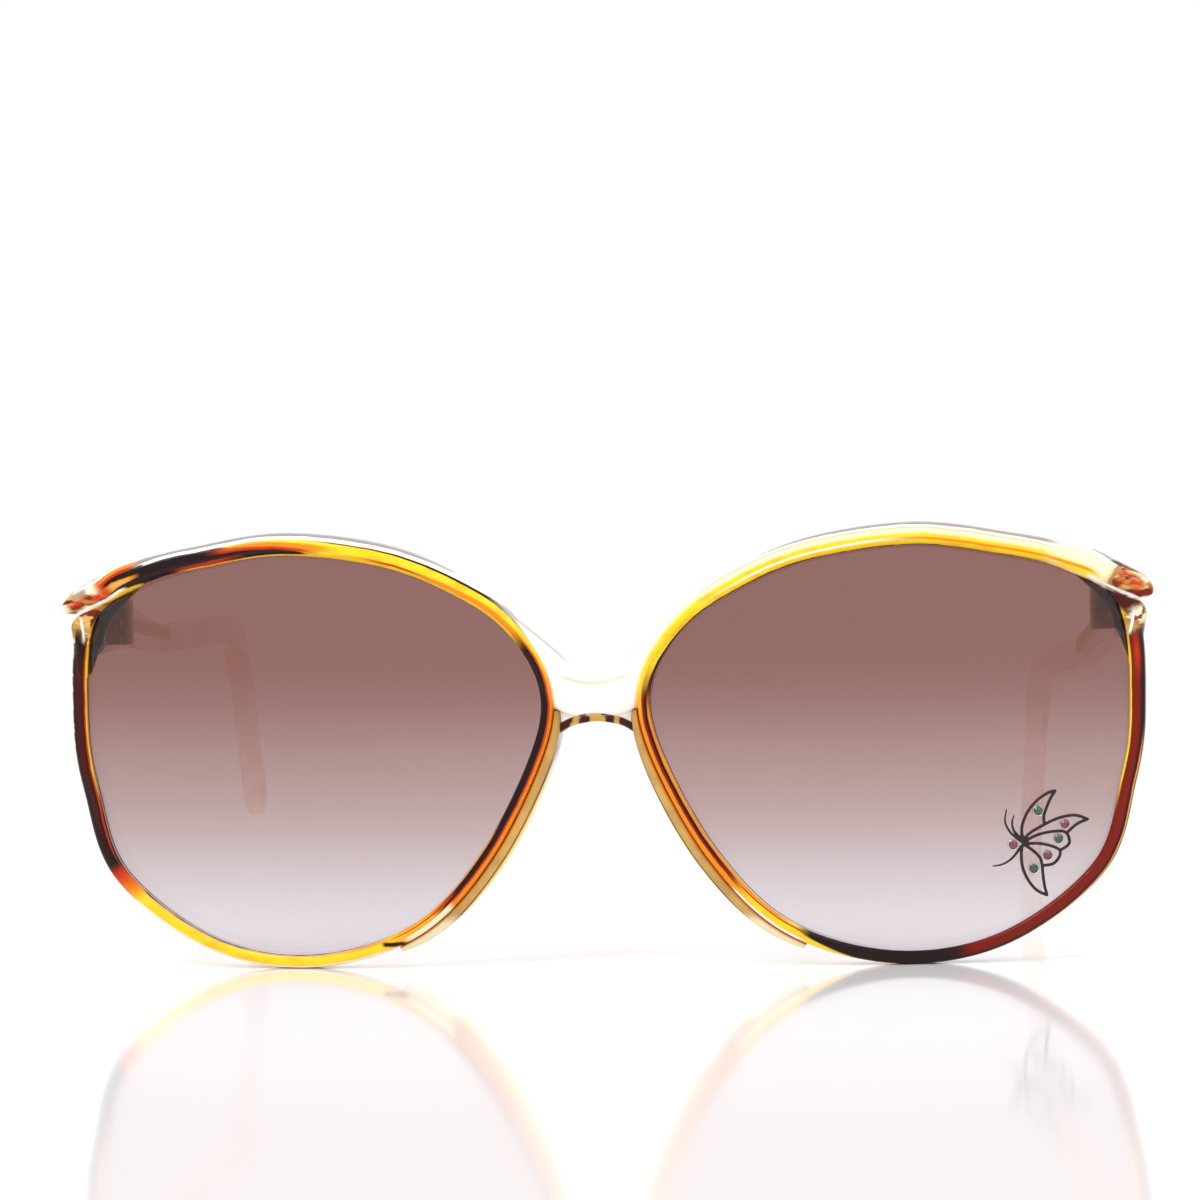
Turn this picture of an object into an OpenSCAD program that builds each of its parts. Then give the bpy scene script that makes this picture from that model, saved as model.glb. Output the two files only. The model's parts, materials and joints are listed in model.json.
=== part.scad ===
/* [Front] */
// How far the endpieces reach out past the lenses
end_reach = 3.6; // [3.3:0.1:4.4]
// Depth of the rims from front to back
rim_depth = 4.2; // [3.9:0.1:5]
// Width of the rim on the temple side
rim_side = 2.1; // [2:0.1:3.2]
// Width of the rim under the lens
rim_bottom = 2.3; // [2.1:0.1:3.4]
// Width of the rim on the nose side
rim_nose = 1.6; // [1.4:0.1:2.2]
// Width of the rim behind the brow bar
rim_top = 2.3; // [1.9:0.1:2.9]
// Height of the brow bar over the middle of a lens
brow_h = 2.7; // [2.3:0.1:3.4]
// How far the brow bar stands proud of the rims
brow_proud = 0.9; // [0.4:0.1:1.4]
// Radius of the front's bow, seen from above
bow_r = 340; // [280:10:500]
// Radius of the front's bow, seen from the side
bow_side_r = 260; // [200:10:500]

/* [Lenses] */
// Width of the lens that shows inside the rim
lens_w = 61.5; // [59:0.5:63]
// Height of the lens that shows inside the rim
lens_h = 52.6; // [48:0.2:56]
// Gap between the two lenses at the bridge
lens_gap = 14.8; // [13.8:0.2:16.4]
// Thickness of a lens
lens_t = 2.0; // [1.8:0.1:2.2]
// How far the middle of a lens is domed forwards
lens_dome = 1.8; // [1:0.1:2.6]
// How deep the lens edge sits in its groove
bevel_depth = 0.55; // [0.4:0.05:0.7]
// Clearance between the lens edge and its groove
groove_gap = 0.1; // [0.06:0.01:0.14]

/* [Bridge] */
// Height of the clear bridge at its middle
bridge_h = 5.0; // [4.4:0.1:5.6]
// Middle of the bridge above the middle of the lenses
bridge_rise = 6.8; // [6:0.1:7.6]
// Height of the arch under the bridge
arch_h = 1.1; // [0.9:0.1:1.4]
// How far the arch reaches back from the front
arch_depth = 6.8; // [5.4:0.1:8]
// Thickness of a nose pad
pad_t = 1.5; // [1.1:0.1:1.9]
// How far a nose pad reaches back from the front
pad_depth = 8.6; // [7.4:0.1:10]
// Bond line between a nose pad and the rim
pad_gap = 0.05; // [0.03:0.01:0.08]

/* [Endpieces] */
// Middle of the endpiece above the middle of the lenses
end_rise = 19.7; // [19.2:0.1:20.3]
// Depth from the front of the endpiece to the hinge line
end_depth = 7.4; // [7:0.1:9]
// Length of the endpiece's free tip
end_run = 8.8; // [8:0.1:9.6]

/* [Temples] */
// Length of the straight arm, from the hinge line to the bend
arm_len = 92; // [84:1:100]
// How far the arm dips below the hinge behind its root
arm_dip = 3.2; // [2:0.1:4]
// Length over which the arm dips and narrows
dip_run = 40; // [30:1:50]
// Radius of the bend over the ear
bend_r = 16; // [12:1:22]
// Angle that the drop end turns down by
bend_angle = 60; // [52:1:66]
// Length of the straight drop end
drop_len = 23; // [20:0.5:28]
// Thickness of the arm
arm_t = 3.3; // [3:0.1:3.6]
// Height of the arm at the hinge
arm_root_h = 8.4; // [7.8:0.1:9]
// Height of the arm along its middle
arm_mid_h = 4.4; // [4.2:0.1:5.4]
// Height of the arm near its tip
arm_tip_h = 4.8; // [4.2:0.1:5.8]

/* [Hinges] */
// Radius of the hinge barrel
barrel_r = 1.3; // [1.1:0.05:1.5]
// Height of one knuckle of the five
knuckle_h = 1.2; // [1.1:0.05:1.4]
// Gap between neighbouring knuckles
knuckle_gap = 0.06; // [0.04:0.01:0.1]
// Radius of the hinge screw
screw_r = 0.5; // [0.4:0.05:0.6]
// Radius of the hinge screw's head
screw_head_r = 0.95; // [0.8:0.05:1.1]
// Running clearance round the hinge screw
screw_gap = 0.03; // [0.02:0.01:0.06]
// Thickness of the hinge leaves
leaf_t = 0.7; // [0.5:0.05:0.9]
// Gap between the barrel and the inner face of the arm
barrel_gap = 0.6; // [0.4:0.05:0.9]
// Length of the leaf on the front
front_leaf_len = 3.8; // [3:0.1:4]
// Length of the leaf on the temple
temple_leaf_len = 7.5; // [6:0.1:9]
// Length of the tang that runs back from the temple's leaf
tang_len = 34; // [20:1:44]
// Height of the tang
tang_h = 1.9; // [1.4:0.1:2.1]
// Fitting gap round the hinge leaves in the plastic
leaf_gap = 0.02; // [0.01:0.01:0.05]
// Gap between the ends of the endpiece and the temple when the temple stands straight
face_gap = 0.24; // [0.2:0.01:0.34]

/* [Butterfly] */
// Width of the butterfly over its feeler and wing tips
butterfly_w = 12.4; // [11:0.1:13.2]
// Width of its wire
wire_w = 0.42; // [0.34:0.02:0.5]
// Height of its wire above the lens
wire_t = 0.3; // [0.2:0.05:0.45]
// Radius of a stone
stone_r = 0.56; // [0.5:0.02:0.62]
// Wall of a stone's setting
setting_wall = 0.13; // [0.1:0.01:0.18]
// Height of a stone's setting
setting_h = 0.45; // [0.35:0.05:0.6]
// Bond line between the ornament and the lens
bond_gap = 0.03; // [0.02:0.01:0.06]

/* [Pose] */
// How far the wearer's-left temple stands folded in
left_fold = 8; // [0:1:14]
// How far the wearer's-right temple stands open past straight
right_splay = 1; // [0:0.5:1.5]
// How far the wearer's-right temple is lifted off its tip
right_lift = 5.2; // [0:0.2:6]

/* [Hidden] */
STONES = ["head", "upper_wing", "second_wing", "middle_lobe", "lower_lobe", "lower_wing"];
LEFT = 1;
RIGHT = -1;

// Smooth curves through hand-set points
function curve_point(a, b, c, d, t) =
    (2 * b + (c - a) * t + (2 * a - 5 * b + 4 * c - d) * t * t + (3 * b - a - 3 * c + d) * t * t * t) / 2;
function closed_curve(points, steps) = let (n = len(points)) [
    for (i = [0:n - 1], k = [0:steps - 1])
        curve_point(points[(i + n - 1) % n], points[i], points[(i + 1) % n], points[(i + 2) % n], k / steps)
];
function open_curve(points, steps) = let (n = len(points)) concat(
    [for (i = [0:n - 2], k = [0:steps - 1])
        curve_point(points[max(i - 1, 0)], points[i], points[i + 1], points[min(i + 2, n - 1)], k / steps)],
    [points[n - 1]]
);
function unit(v) = v / norm(v);
// Direction a quarter turn to the right of the way from a to b
function right_of(a, b) = unit([b[1] - a[1], a[0] - b[0]]);

// Visible outline of the wearer's-left lens, as shares of its half width and half height,
// from the temple side over the top to the nose side and back along the bottom
LENS_SHARES = [
    [1.00, 0.15], [0.92, 0.63], [0.73, 0.86], [0.46, 0.945],
    [0.10, 0.995], [-0.33, 0.93], [-0.65, 0.77], [-0.86, 0.585],
    [-0.99, 0.315], [-0.95, 0.0], [-0.725, -0.5], [-0.42, -0.86],
    [0.02, -1.0], [0.465, -0.94], [0.84, -0.595], [0.98, -0.2]
];
OUTLINE_STEPS = 5;
lens_x = lens_gap / 2 + lens_w / 2;
front_w = lens_gap + 2 * (lens_w + end_reach);
outline = [for (p = closed_curve(LENS_SHARES, OUTLINE_STEPS)) [p[0] * lens_w / 2, p[1] * lens_h / 2]];
OUTLINE_N = len(outline);
function outline_normal(i) = right_of(outline[(i + OUTLINE_N - 1) % OUTLINE_N], outline[(i + 1) % OUTLINE_N]);
// Rim width blends from side to top to nose to bottom with the direction from the lens middle
function rim_width(i) = let (d = unit(outline[i]))
    pow(d[0], 2) * (d[0] > 0 ? rim_side : rim_nose) + pow(d[1], 2) * (d[1] > 0 ? rim_top : rim_bottom);
// The lowest point of the rims stands on the floor
lens_z = -min([for (i = [0:OUTLINE_N - 1]) outline[i][1] + outline_normal(i)[1] * rim_width(i)]);

// Front surface of the frame: a bow in plan and a slighter one in side view
function bow(x, z) = pow(x, 2) / (2 * bow_r) + pow(z - lens_z, 2) / (2 * bow_side_r);
function at_front(x, z, depth) = [x, front_y + bow(x, z) + depth, z];

// Lens seat: depths behind the front surface
lens_front = 1.1;
lens_back = lens_front + lens_t;
lens_mid = lens_front + lens_t / 2;

// Hinge line of the wearer's-left side: how far it lies in from the endpiece's tip and below it
hinge_inset = 7.2;
hinge_drop = 2.6;
hinge_x = front_w / 2 - hinge_inset;
hinge_z = lens_z + end_rise - hinge_drop;
arm_in = barrel_r + barrel_gap;
// The endpiece's depth is measured from the front surface near its tip
end_inset = 2.5;
hinge_depth = bow(front_w / 2 - end_inset, hinge_z) + end_depth;

// Temple centre line in the hinge frame: along +Y with a dip behind the root, then down round the bend
tip_r = arm_tip_h / 2;
drop_start = [arm_len + bend_r * sin(bend_angle), -arm_dip - bend_r * (1 - cos(bend_angle))];
tip_centre = drop_start + drop_len * [cos(bend_angle), -sin(bend_angle)];
tip_reach = norm(tip_centre);
// Slope at which the wearer's-left tip touches the floor
arm_slope = asin((hinge_z - tip_r) / tip_reach) - atan2(-tip_centre[1], tip_centre[0]);
function slope(side) = arm_slope - (side == RIGHT ? right_lift : 0);
function fold(side) = side == LEFT ? left_fold : -right_splay;

// The whole stands with its middle over the origin
function tip_back(side) = let (s = slope(side), f = fold(side))
    (tip_centre[0] * cos(f) + (arm_in + arm_t / 2) * sin(f)) * cos(s) + tip_centre[1] * sin(s)
    + tip_r;
front_most = min(bow(lens_x, lens_z) + lens_front - lens_dome, bow(0, lens_z + bridge_rise) - brow_proud);
depth_all = max(tip_back(LEFT), tip_back(RIGHT)) + hinge_depth - front_most;
front_y = -depth_all / 2 - front_most;
hinge_y = front_y + hinge_depth;

// Skins between rings of points: quads are split, ends are capped by a fan
function ring_faces(rings, sides, closed) = [
    for (i = [0:rings - (closed ? 1 : 2)], j = [0:sides - 1])
        let (
            a = i * sides + j,
            b = i * sides + (j + 1) % sides,
            c = (i + 1) % rings * sides + (j + 1) % sides,
            d = (i + 1) % rings * sides + j
        )
        each [[a, b, c], [a, c, d]]
];
function cap_faces(first, sides, flip) = [
    for (j = [1:sides - 2]) flip ? [first, first + j, first + j + 1] : [first, first + j + 1, first + j]
];
module ring_loop(rings) {
    polyhedron(
        points = [for (r = rings) each r],
        faces = ring_faces(len(rings), len(rings[0]), true)
    );
}
module ring_bar(rings) {
    sides = len(rings[0]);
    polyhedron(
        points = [for (r = rings) each r],
        faces = concat(
            ring_faces(len(rings), sides, false),
            cap_faces(0, sides, false),
            cap_faces((len(rings) - 1) * sides, sides, true)
        )
    );
}
module on_side(side) {
    if (side == LEFT) children();
    else mirror([1, 0, 0]) children();
}
// Hinge frame: +Z up the screw, +Y back along the arm, +X outwards
module at_hinge(side) {
    on_side(side) translate([hinge_x, hinge_y, hinge_z]) rotate([-slope(side), 0, 0]) children();
}
module at_temple(side) {
    at_hinge(side) rotate([0, 0, fold(side)]) children();
}

// Share of the brow bar in the rim: full over the top, none round the side and the bottom.
// The place along the outline is counted in its hand-set points.
function ease(low, high, v) = let (t = min(max((v - low) / (high - low), 0), 1)) t * t * (3 - 2 * t);
brow_lip = 0.25;
function brow_share(place) = ease(0.9, 1.8, place) * (1 - ease(4.2, 7.9, place));
// Rim section: [out from the lens edge, back from the front surface], for a rim of width w
function rim_section(w) = [
    [0, 0.12 * rim_depth], [0.13 * w, 0.03 * rim_depth], [0.45 * w, 0], [0.79 * w, 0.03 * rim_depth],
    [0.96 * w, 0.14 * rim_depth], [w, 0.36 * rim_depth], [w, 0.71 * rim_depth],
    [0.88 * w, 0.92 * rim_depth], [0.5 * w, rim_depth], [0, 0.9 * rim_depth]
];
// The same points where the brow bar swells the rim to height h
function brow_section(h) = [
    [0, 0.08 * rim_depth], [0.1 * h, -0.4 * brow_proud], [0.3 * h, -brow_proud],
    [0.68 * h, -0.95 * brow_proud], [0.9 * h, -0.35 * brow_proud], [h, 0.21 * rim_depth],
    [h, 0.76 * rim_depth], [0.88 * h, 0.98 * rim_depth], [0.55 * h, 1.06 * rim_depth], [0, 0.93 * rim_depth]
];
function section_at(i) = let (b = brow_share(i / OUTLINE_STEPS))
    (1 - b) * rim_section(rim_width(i)) + b * brow_section(brow_h + brow_lip);
// Ring round the lens from one section for each step of the outline
module round_lens(sections) {
    ring_loop([
        for (i = [OUTLINE_N - 1:-1:0])
            let (n = outline_normal(i), p = outline[i] + [lens_x, lens_z])
            [for (s = sections[i]) at_front(p[0] + n[0] * s[0], p[1] + n[1] * s[0], s[1])]
    ]);
}
module rim() {
    round_lens([for (i = [0:OUTLINE_N - 1]) section_at(i)]);
}
// V-shaped groove that holds the lens: the bevel of the lens, grown by the clearance
module groove() {
    lead = 0.25;
    flare = lead * lens_t / 2 / bevel_depth;
    wedge = [[groove_gap - lead, lens_front - flare], [bevel_depth + groove_gap, lens_mid],
        [groove_gap - lead, lens_back + flare]];
    round_lens([for (i = [0:OUTLINE_N - 1]) wedge]);
}

// Bars with knots of [x, z, half height]: the endpiece's bullet tip, and the bridge
end_x = front_w / 2;
end_z = lens_z + end_rise;
bridge_z = lens_z + bridge_rise;
function over_lens(place, out, half) = let (
        i = round(place * OUTLINE_STEPS),
        p = outline[i] + outline_normal(i) * out
    ) [p[0] + lens_x, p[1] + lens_z, half];
brow_mid = brow_lip + brow_h / 2;
// Places on the endpiece: shares of its free tip in from its end and up from its middle
function end_place(in, up) = [end_x - in * end_run, end_z + up * end_run];
function end_knot(in, up, half) = concat(end_place(in, up), [half * brow_h]);
tip_knots = [
    over_lens(3.4, brow_mid, 0.3 * brow_h), over_lens(2.7, 1.12 * brow_mid, 0.47 * brow_h),
    end_knot(1, 0.43, 0.6), end_knot(0.64, 0.23, 0.69), end_knot(0.27, 0.06, 0.61),
    end_knot(0.09, -0.025, 0.41), end_knot(0.017, -0.057, 0.22), end_knot(0, -0.063, 0.055)
];
bridge_half = [
    over_lens(6.6, 0.75 * brow_mid, 0.26 * brow_h),
    [0.61 * lens_gap, bridge_z + 1.46 * bridge_h, 0.26 * bridge_h],
    [0.446 * lens_gap, bridge_z + 0.94 * bridge_h, 0.36 * bridge_h],
    [0.25 * lens_gap, bridge_z + 0.2 * bridge_h, 0.57 * bridge_h]
];
bridge_knots = concat(
    bridge_half,
    [[0, bridge_z, bridge_h / 2]],
    [for (i = [len(bridge_half) - 1:-1:0]) [-bridge_half[i][0], bridge_half[i][1], bridge_half[i][2]]]
);
// A bar lower than this also gets shallower
full_half = 0.44 * brow_h;
// Bar section: [share of the half height, back from the front surface]
function bar_section(half) = let (r = min(half / full_half, 1), q = brow_proud * r, m = rim_depth / 2) [
    [-0.97, m - r * 0.71 * m], [-0.75, -0.35 * q], [-0.25, -q], [0.35, -0.95 * q],
    [0.78, -0.35 * q], [0.98, m - r * 0.57 * m], [1.0, m + r * 0.52 * m], [0.78, m + r * 0.93 * m],
    [0.1, m + r * 1.1 * m], [-0.7, m + r * 0.95 * m], [-1.0, m + r * 0.52 * m]
];
module bar(knots, steps) {
    line = open_curve(knots, steps);
    last = len(line) - 1;
    ring_bar([
        for (i = [0:last])
            let (n = -right_of(line[max(i - 1, 0)], line[min(i + 1, last)]), half = line[i][2])
            [for (s = bar_section(half))
                at_front(line[i][0] + n[0] * s[0] * half, line[i][1] + n[1] * s[0] * half, s[1])]
    ]);
}

// Outer end of the side rim: a rounded cap that points up below the endpiece
cap_knots = [
    end_knot(0.29, -1.08, 0.37), end_knot(0.28, -0.68, 0.43), end_knot(0.245, -0.385, 0.48),
    end_knot(0.25, -0.24, 0.35), end_knot(0.26, -0.18, 0.15)
];
module side_cap() {
    line = open_curve(cap_knots, 3);
    last = len(line) - 1;
    ring_bar([
        for (i = [last:-1:0])
            let (half = line[i][2])
            [for (a = [0:30:330])
                at_front(
                    line[i][0] + half * cos(a),
                    line[i][1],
                    0.48 * rim_depth + 0.55 * rim_depth * min(half / (0.37 * brow_h), 1) * sin(a)
                )]
    ]);
}

// Endpiece: the block that carries the hinge, and the gusset that ties it to the rim behind the lens
block_r = 1.0;
block_out = arm_in + arm_t;
front_reach = end_depth - 1.2;
module upright(x, y, low, high) {
    translate([x, y, low]) cylinder(r = block_r, h = high - low, $fn = 16);
}
module hinge_block() {
    half = arm_root_h / 2;
    // Its front edges are rounded in two steps, and its rear face is chamfered
    front_cut = 0.9;
    step_cut = 0.2;
    step_y = -front_reach + 0.8;
    face_cut = 0.6;
    face_run = 1.5;
    // The lower inner corner is cut back to clear the lens
    corner_cut = 1.6;
    hull() {
        upright(arm_in + block_r, -front_reach, -half + corner_cut, half - front_cut);
        upright(block_out - block_r, -front_reach, -half + front_cut, half - front_cut);
        upright(arm_in + block_r, step_y, -half + corner_cut, half - step_cut);
        upright(block_out - block_r, step_y, -half + step_cut, half - step_cut);
        translate([arm_in, -face_run, -half + face_cut])
            cube([arm_t, face_run - face_gap / 2, arm_root_h - 2 * face_cut]);
        translate([arm_in + face_cut, -face_run, -half])
            cube([arm_t - 2 * face_cut, face_run - face_gap / 2, arm_root_h]);
    }
}
// Foot of a web at a place on the endpiece: its radius and thickness are shares of the free tip too
module foot(in, up, r, depth, thick) {
    p = end_place(in, up);
    translate(at_front(p[0], p[1], depth)) rotate([-90, 0, 0])
        cylinder(r = r * end_run, h = thick * end_run, $fn = 16);
}
gusset_depth = 0.88 * rim_depth;
web_depth = 0.36 * rim_depth;
module gusset() {
    hull() {
        foot(1.09, 0.07, 0.09, gusset_depth, 0.16);
        foot(0.39, 0.135, 0.136, gusset_depth, 0.3);
        foot(0.5, -0.18, 0.136, gusset_depth, 0.3);
    }
    hull() {
        foot(0.73, -0.61, 0.09, gusset_depth, 0.11);
        foot(0.39, 0.135, 0.136, gusset_depth, 0.3);
        foot(0.36, -0.5, 0.114, gusset_depth, 0.25);
    }
}
module endpiece_web() {
    hull() {
        foot(0.347, -0.51, 0.142, web_depth, 0.352);
        foot(0.34, 0.045, 0.136, web_depth, 0.364);
        foot(0.68, -0.045, 0.114, web_depth, 0.364);
    }
}

// Arch under the bridge, deeper than the bridge itself
ARCH_SHARES = [
    [-0.37, 0.14], [-0.26, 0.068], [-0.13, 0.034], [0, 0.02], [0.13, 0.034], [0.26, 0.068], [0.37, 0.14]
];
arch_points = [
    for (p = ARCH_SHARES) [p[0] * lens_gap, bridge_z - bridge_h / 2 - p[1] * lens_gap]
];
module arch() {
    line = open_curve(arch_points, 2);
    arch_inset = 0.38 * rim_depth;
    r = arch_h / 2;
    for (i = [0:len(line) - 2]) hull() {
        for (p = [line[i], line[i + 1]])
            translate(at_front(p[0], p[1], arch_inset)) rotate([-90, 0, 0])
                cylinder(r = r, h = arch_depth - arch_inset, $fn = 8);
    }
}

module front_frame() {
    color([0.72, 0.36, 0.10]) difference() {
        union() {
            difference() {
                union() {
                    bar(bridge_knots, 3);
                    arch();
                }
                for (side = [LEFT, RIGHT]) on_side(side) pad_form(pad_gap);
            }
            for (side = [LEFT, RIGHT]) {
                on_side(side) {
                    rim();
                    bar(tip_knots, 2);
                    side_cap();
                    gusset();
                    endpiece_web();
                }
                at_hinge(side) hinge_block();
            }
        }
        for (side = [LEFT, RIGHT]) {
            on_side(side) groove();
            at_hinge(side) {
                leaf_seat(front_leaf_len, 5 * knuckle_h, -1);
                knuckle_room();
            }
        }
    }
}

// Lenses: domed rings from the middle to the edge, a bevel, and back again
DOME_RINGS = [0.06, 0.36, 0.66, 0.88, 1];
edge_in = -0.06;
function lens_ring(share, out, depth, dome) = [
    for (i = [0:OUTLINE_N - 1])
        let (n = outline_normal(i), p = outline[i] * share + n * out * share + [lens_x, lens_z])
        at_front(p[0], p[1], depth - dome * (1 - share * share))
];
function lens_rings() = concat(
    [for (s = DOME_RINGS) lens_ring(s, edge_in, lens_front, lens_dome)],
    [lens_ring(1, bevel_depth, lens_mid, 0)],
    [for (k = [len(DOME_RINGS) - 1:-1:0]) lens_ring(DOME_RINGS[k], edge_in, lens_back, lens_dome)]
);
module lens(side) {
    color([0.55, 0.38, 0.36, 0.75]) on_side(side) ring_bar(lens_rings());
}

// Nose pad: a crescent along the nose side of the rim, from one outline step to another
PAD_FROM = 42;
PAD_TO = 58;
// Its section stands pad_gap off the rim; grow widens it towards the nose, the front and the back
function pad_section(w, k, grow) = let (
        in = w + pad_gap - grow / 2,
        t = pad_t * (0.35 + 0.65 * k) + 1.5 * grow,
        over = 1.08 * rim_depth,
        back = over + (pad_depth - over) * k
    ) [
    [in, 0.24 * rim_depth - grow], [in + 0.6 * t, 0.18 * rim_depth - grow], [in + t, 0.31 * rim_depth - grow],
    [in + t + 0.07 * k * t, rim_depth], [in + t - 0.13 * k * t, back - 0.4 * t + grow],
    [in + 0.4 * t, back + grow], [in - 0.53 * k * t, back - 0.2 * t + grow],
    [in - 0.8 * k * t, back - 0.73 * t], [in - 0.6 * k * t, 1.04 * rim_depth - grow],
    [in, 1.02 * rim_depth - grow]
];
module pad_form(grow) {
    ring_bar([
        for (i = [PAD_TO:-1:PAD_FROM])
            let (
                n = outline_normal(i),
                p = outline[i] + [lens_x, lens_z],
                k = pow(max(sin(180 * (i - PAD_FROM + 0.25) / (PAD_TO - PAD_FROM + 0.5)), 0), 0.5)
            )
            [
                for (s = pad_section(rim_width(i), k, grow))
                    at_front(p[0] + n[0] * s[0], p[1] + n[1] * s[0], s[1])
            ]
    ]);
}
module nose_pad(side) {
    color([0.84, 0.67, 0.35]) on_side(side) pad_form(0);
}

// Temple section: [share of the thickness, share of the height], flat on its inner side
TEMPLE_SECTION = [
    [0, -0.40], [0, 0.40], [0.10, 0.47], [0.35, 0.5], [0.65, 0.5], [0.88, 0.42],
    [1, 0.24], [1, -0.24], [0.88, -0.42], [0.65, -0.5], [0.35, -0.5], [0.10, -0.47]
];
// Stations of [place on the centre line, turn down, height]
function arm_height(y) = arm_mid_h + (arm_root_h - arm_mid_h) * pow(max(1 - y / dip_run, 0), 2);
arm_rings = concat(
    [for (share = [0, 0.1, 0.2, 0.3, 0.4, 0.5, 0.62, 0.75, 0.87, 1]) share * dip_run],
    [for (share = [0.3, 0.65]) dip_run + share * (arm_len - dip_run)]
);
arm_stations = [for (y = arm_rings) [[y, -arm_dip * ease(0, dip_run, y)], 0, arm_height(y)]];
bend_stations = [for (k = [0:6]) let (a = bend_angle * k / 6)
    [[arm_len + bend_r * sin(a), -arm_dip - bend_r * (1 - cos(a))], a, arm_mid_h]];
drop_stations = [for (k = [1:4]) let (s = k / 4)
    [drop_start + drop_len * s * [cos(bend_angle), -sin(bend_angle)], bend_angle,
     arm_mid_h + (arm_tip_h - arm_mid_h) * s]];
dome_stations = [for (a = [20, 40, 58, 74, 86])
    [tip_centre + tip_r * sin(a) * [cos(bend_angle), -sin(bend_angle)], bend_angle, arm_tip_h * cos(a)]];
function temple_ring(station, first) = let (
        h = station[2],
        t = arm_t * (station[1] < bend_angle ? 1 : min(1, 0.45 + 0.45 * h / arm_mid_h)),
        a = station[1]
    ) [
    for (s = TEMPLE_SECTION) [
        arm_in + arm_t / 2 + (s[0] - 0.5) * t,
        station[0][0] + s[1] * h * sin(a) + (first ? face_gap / 2 : 0),
        station[0][1] + s[1] * h * cos(a)
    ]
];
module temple(side) {
    stations = concat(arm_stations, bend_stations, drop_stations, dome_stations);
    color([0.93, 0.80, 0.72, 0.7]) at_temple(side) difference() {
        ring_bar([for (i = [len(stations) - 1:-1:0]) temple_ring(stations[i], i == 0)]);
        leaf_seat(temple_leaf_len, temple_leaf_h, 1);
        tang(cut_over, leaf_gap);
    }
}

// Hinge: five knuckles, the front's leaf holds the even ones and the temple's the odd ones
temple_leaf_h = 3 * knuckle_h + 0.8;
// Seats run on past the surface they are cut into by this much
cut_over = 1;
module leaf_seat(length, height, way) {
    translate([arm_in - cut_over, way > 0 ? -cut_over : -length - leaf_gap, -height / 2 - leaf_gap])
        cube([cut_over + leaf_t + leaf_gap, length + cut_over + leaf_gap, height + 2 * leaf_gap]);
}
// Room in the front for the knuckles that stand off its leaf
module knuckle_room() {
    around = barrel_gap / 2;
    high = 5 * knuckle_h + 2 * around;
    translate([-barrel_r - around, -barrel_r - leaf_t - leaf_gap, -high / 2])
        cube([barrel_r + around + arm_in, 2 * barrel_r + leaf_t, high]);
}
module knuckle(i, way) {
    low = (i - 2.5) * knuckle_h + knuckle_gap / 2;
    high = (i - 1.5) * knuckle_h - knuckle_gap / 2;
    translate([0, 0, low]) {
        cylinder(r = barrel_r, h = high - low, $fn = 48);
        translate([0, way > 0 ? face_gap / 2 : -barrel_r - leaf_t, 0])
            cube([arm_in + leaf_t, barrel_r + leaf_t - face_gap / 2, high - low]);
    }
}
module leaf_plate(length, height, way) {
    lap = 0.3;
    start = barrel_r + leaf_t - lap;
    translate([arm_in, way > 0 ? start : -length, -height / 2]) cube([leaf_t, length - start, height]);
}
// Tang: a bar from the leaf down along the dip of the arm; lead and gap grow it into its seat
module tang(lead, gap) {
    tang_drop = atan2(arm_dip, temple_leaf_len + tang_len);
    lap = 1;
    translate([arm_in - lead, temple_leaf_len - lap, 0]) rotate([-tang_drop, 0, 0])
        translate([0, 0, -tang_h / 2 - gap])
            cube([lead + leaf_t + gap, tang_len + lap + gap, tang_h + 2 * gap]);
}
module screw_bore() {
    translate([0, 0, -3 * knuckle_h]) cylinder(r = screw_r + screw_gap, h = 6 * knuckle_h, $fn = 32);
}
module hinge_front(side) {
    color([0.80, 0.72, 0.50]) at_hinge(side) difference() {
        union() {
            leaf_plate(front_leaf_len, 5 * knuckle_h, -1);
            for (i = [0, 2, 4]) knuckle(i, -1);
        }
        screw_bore();
    }
}
module hinge_temple(side) {
    color([0.80, 0.72, 0.50]) at_temple(side) difference() {
        union() {
            leaf_plate(temple_leaf_len, temple_leaf_h, 1);
            for (i = [1, 3]) knuckle(i, 1);
            tang(0, 0);
        }
        screw_bore();
    }
}
module hinge_screw(side) {
    half = 2.5 * knuckle_h;
    head_h = 0.55;
    slot_w = 0.24;
    slot_h = 0.25;
    color([0.75, 0.75, 0.76]) at_hinge(side) difference() {
        union() {
            translate([0, 0, -half]) cylinder(r = screw_r, h = 2 * half, $fn = 32);
            translate([0, 0, half]) cylinder(r = screw_head_r, h = head_h, $fn = 32);
        }
        translate([-screw_head_r - cut_over, -slot_w / 2, half + head_h - slot_h])
            cube([2 * (screw_head_r + cut_over), slot_w, slot_h + cut_over]);
    }
}

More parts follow.
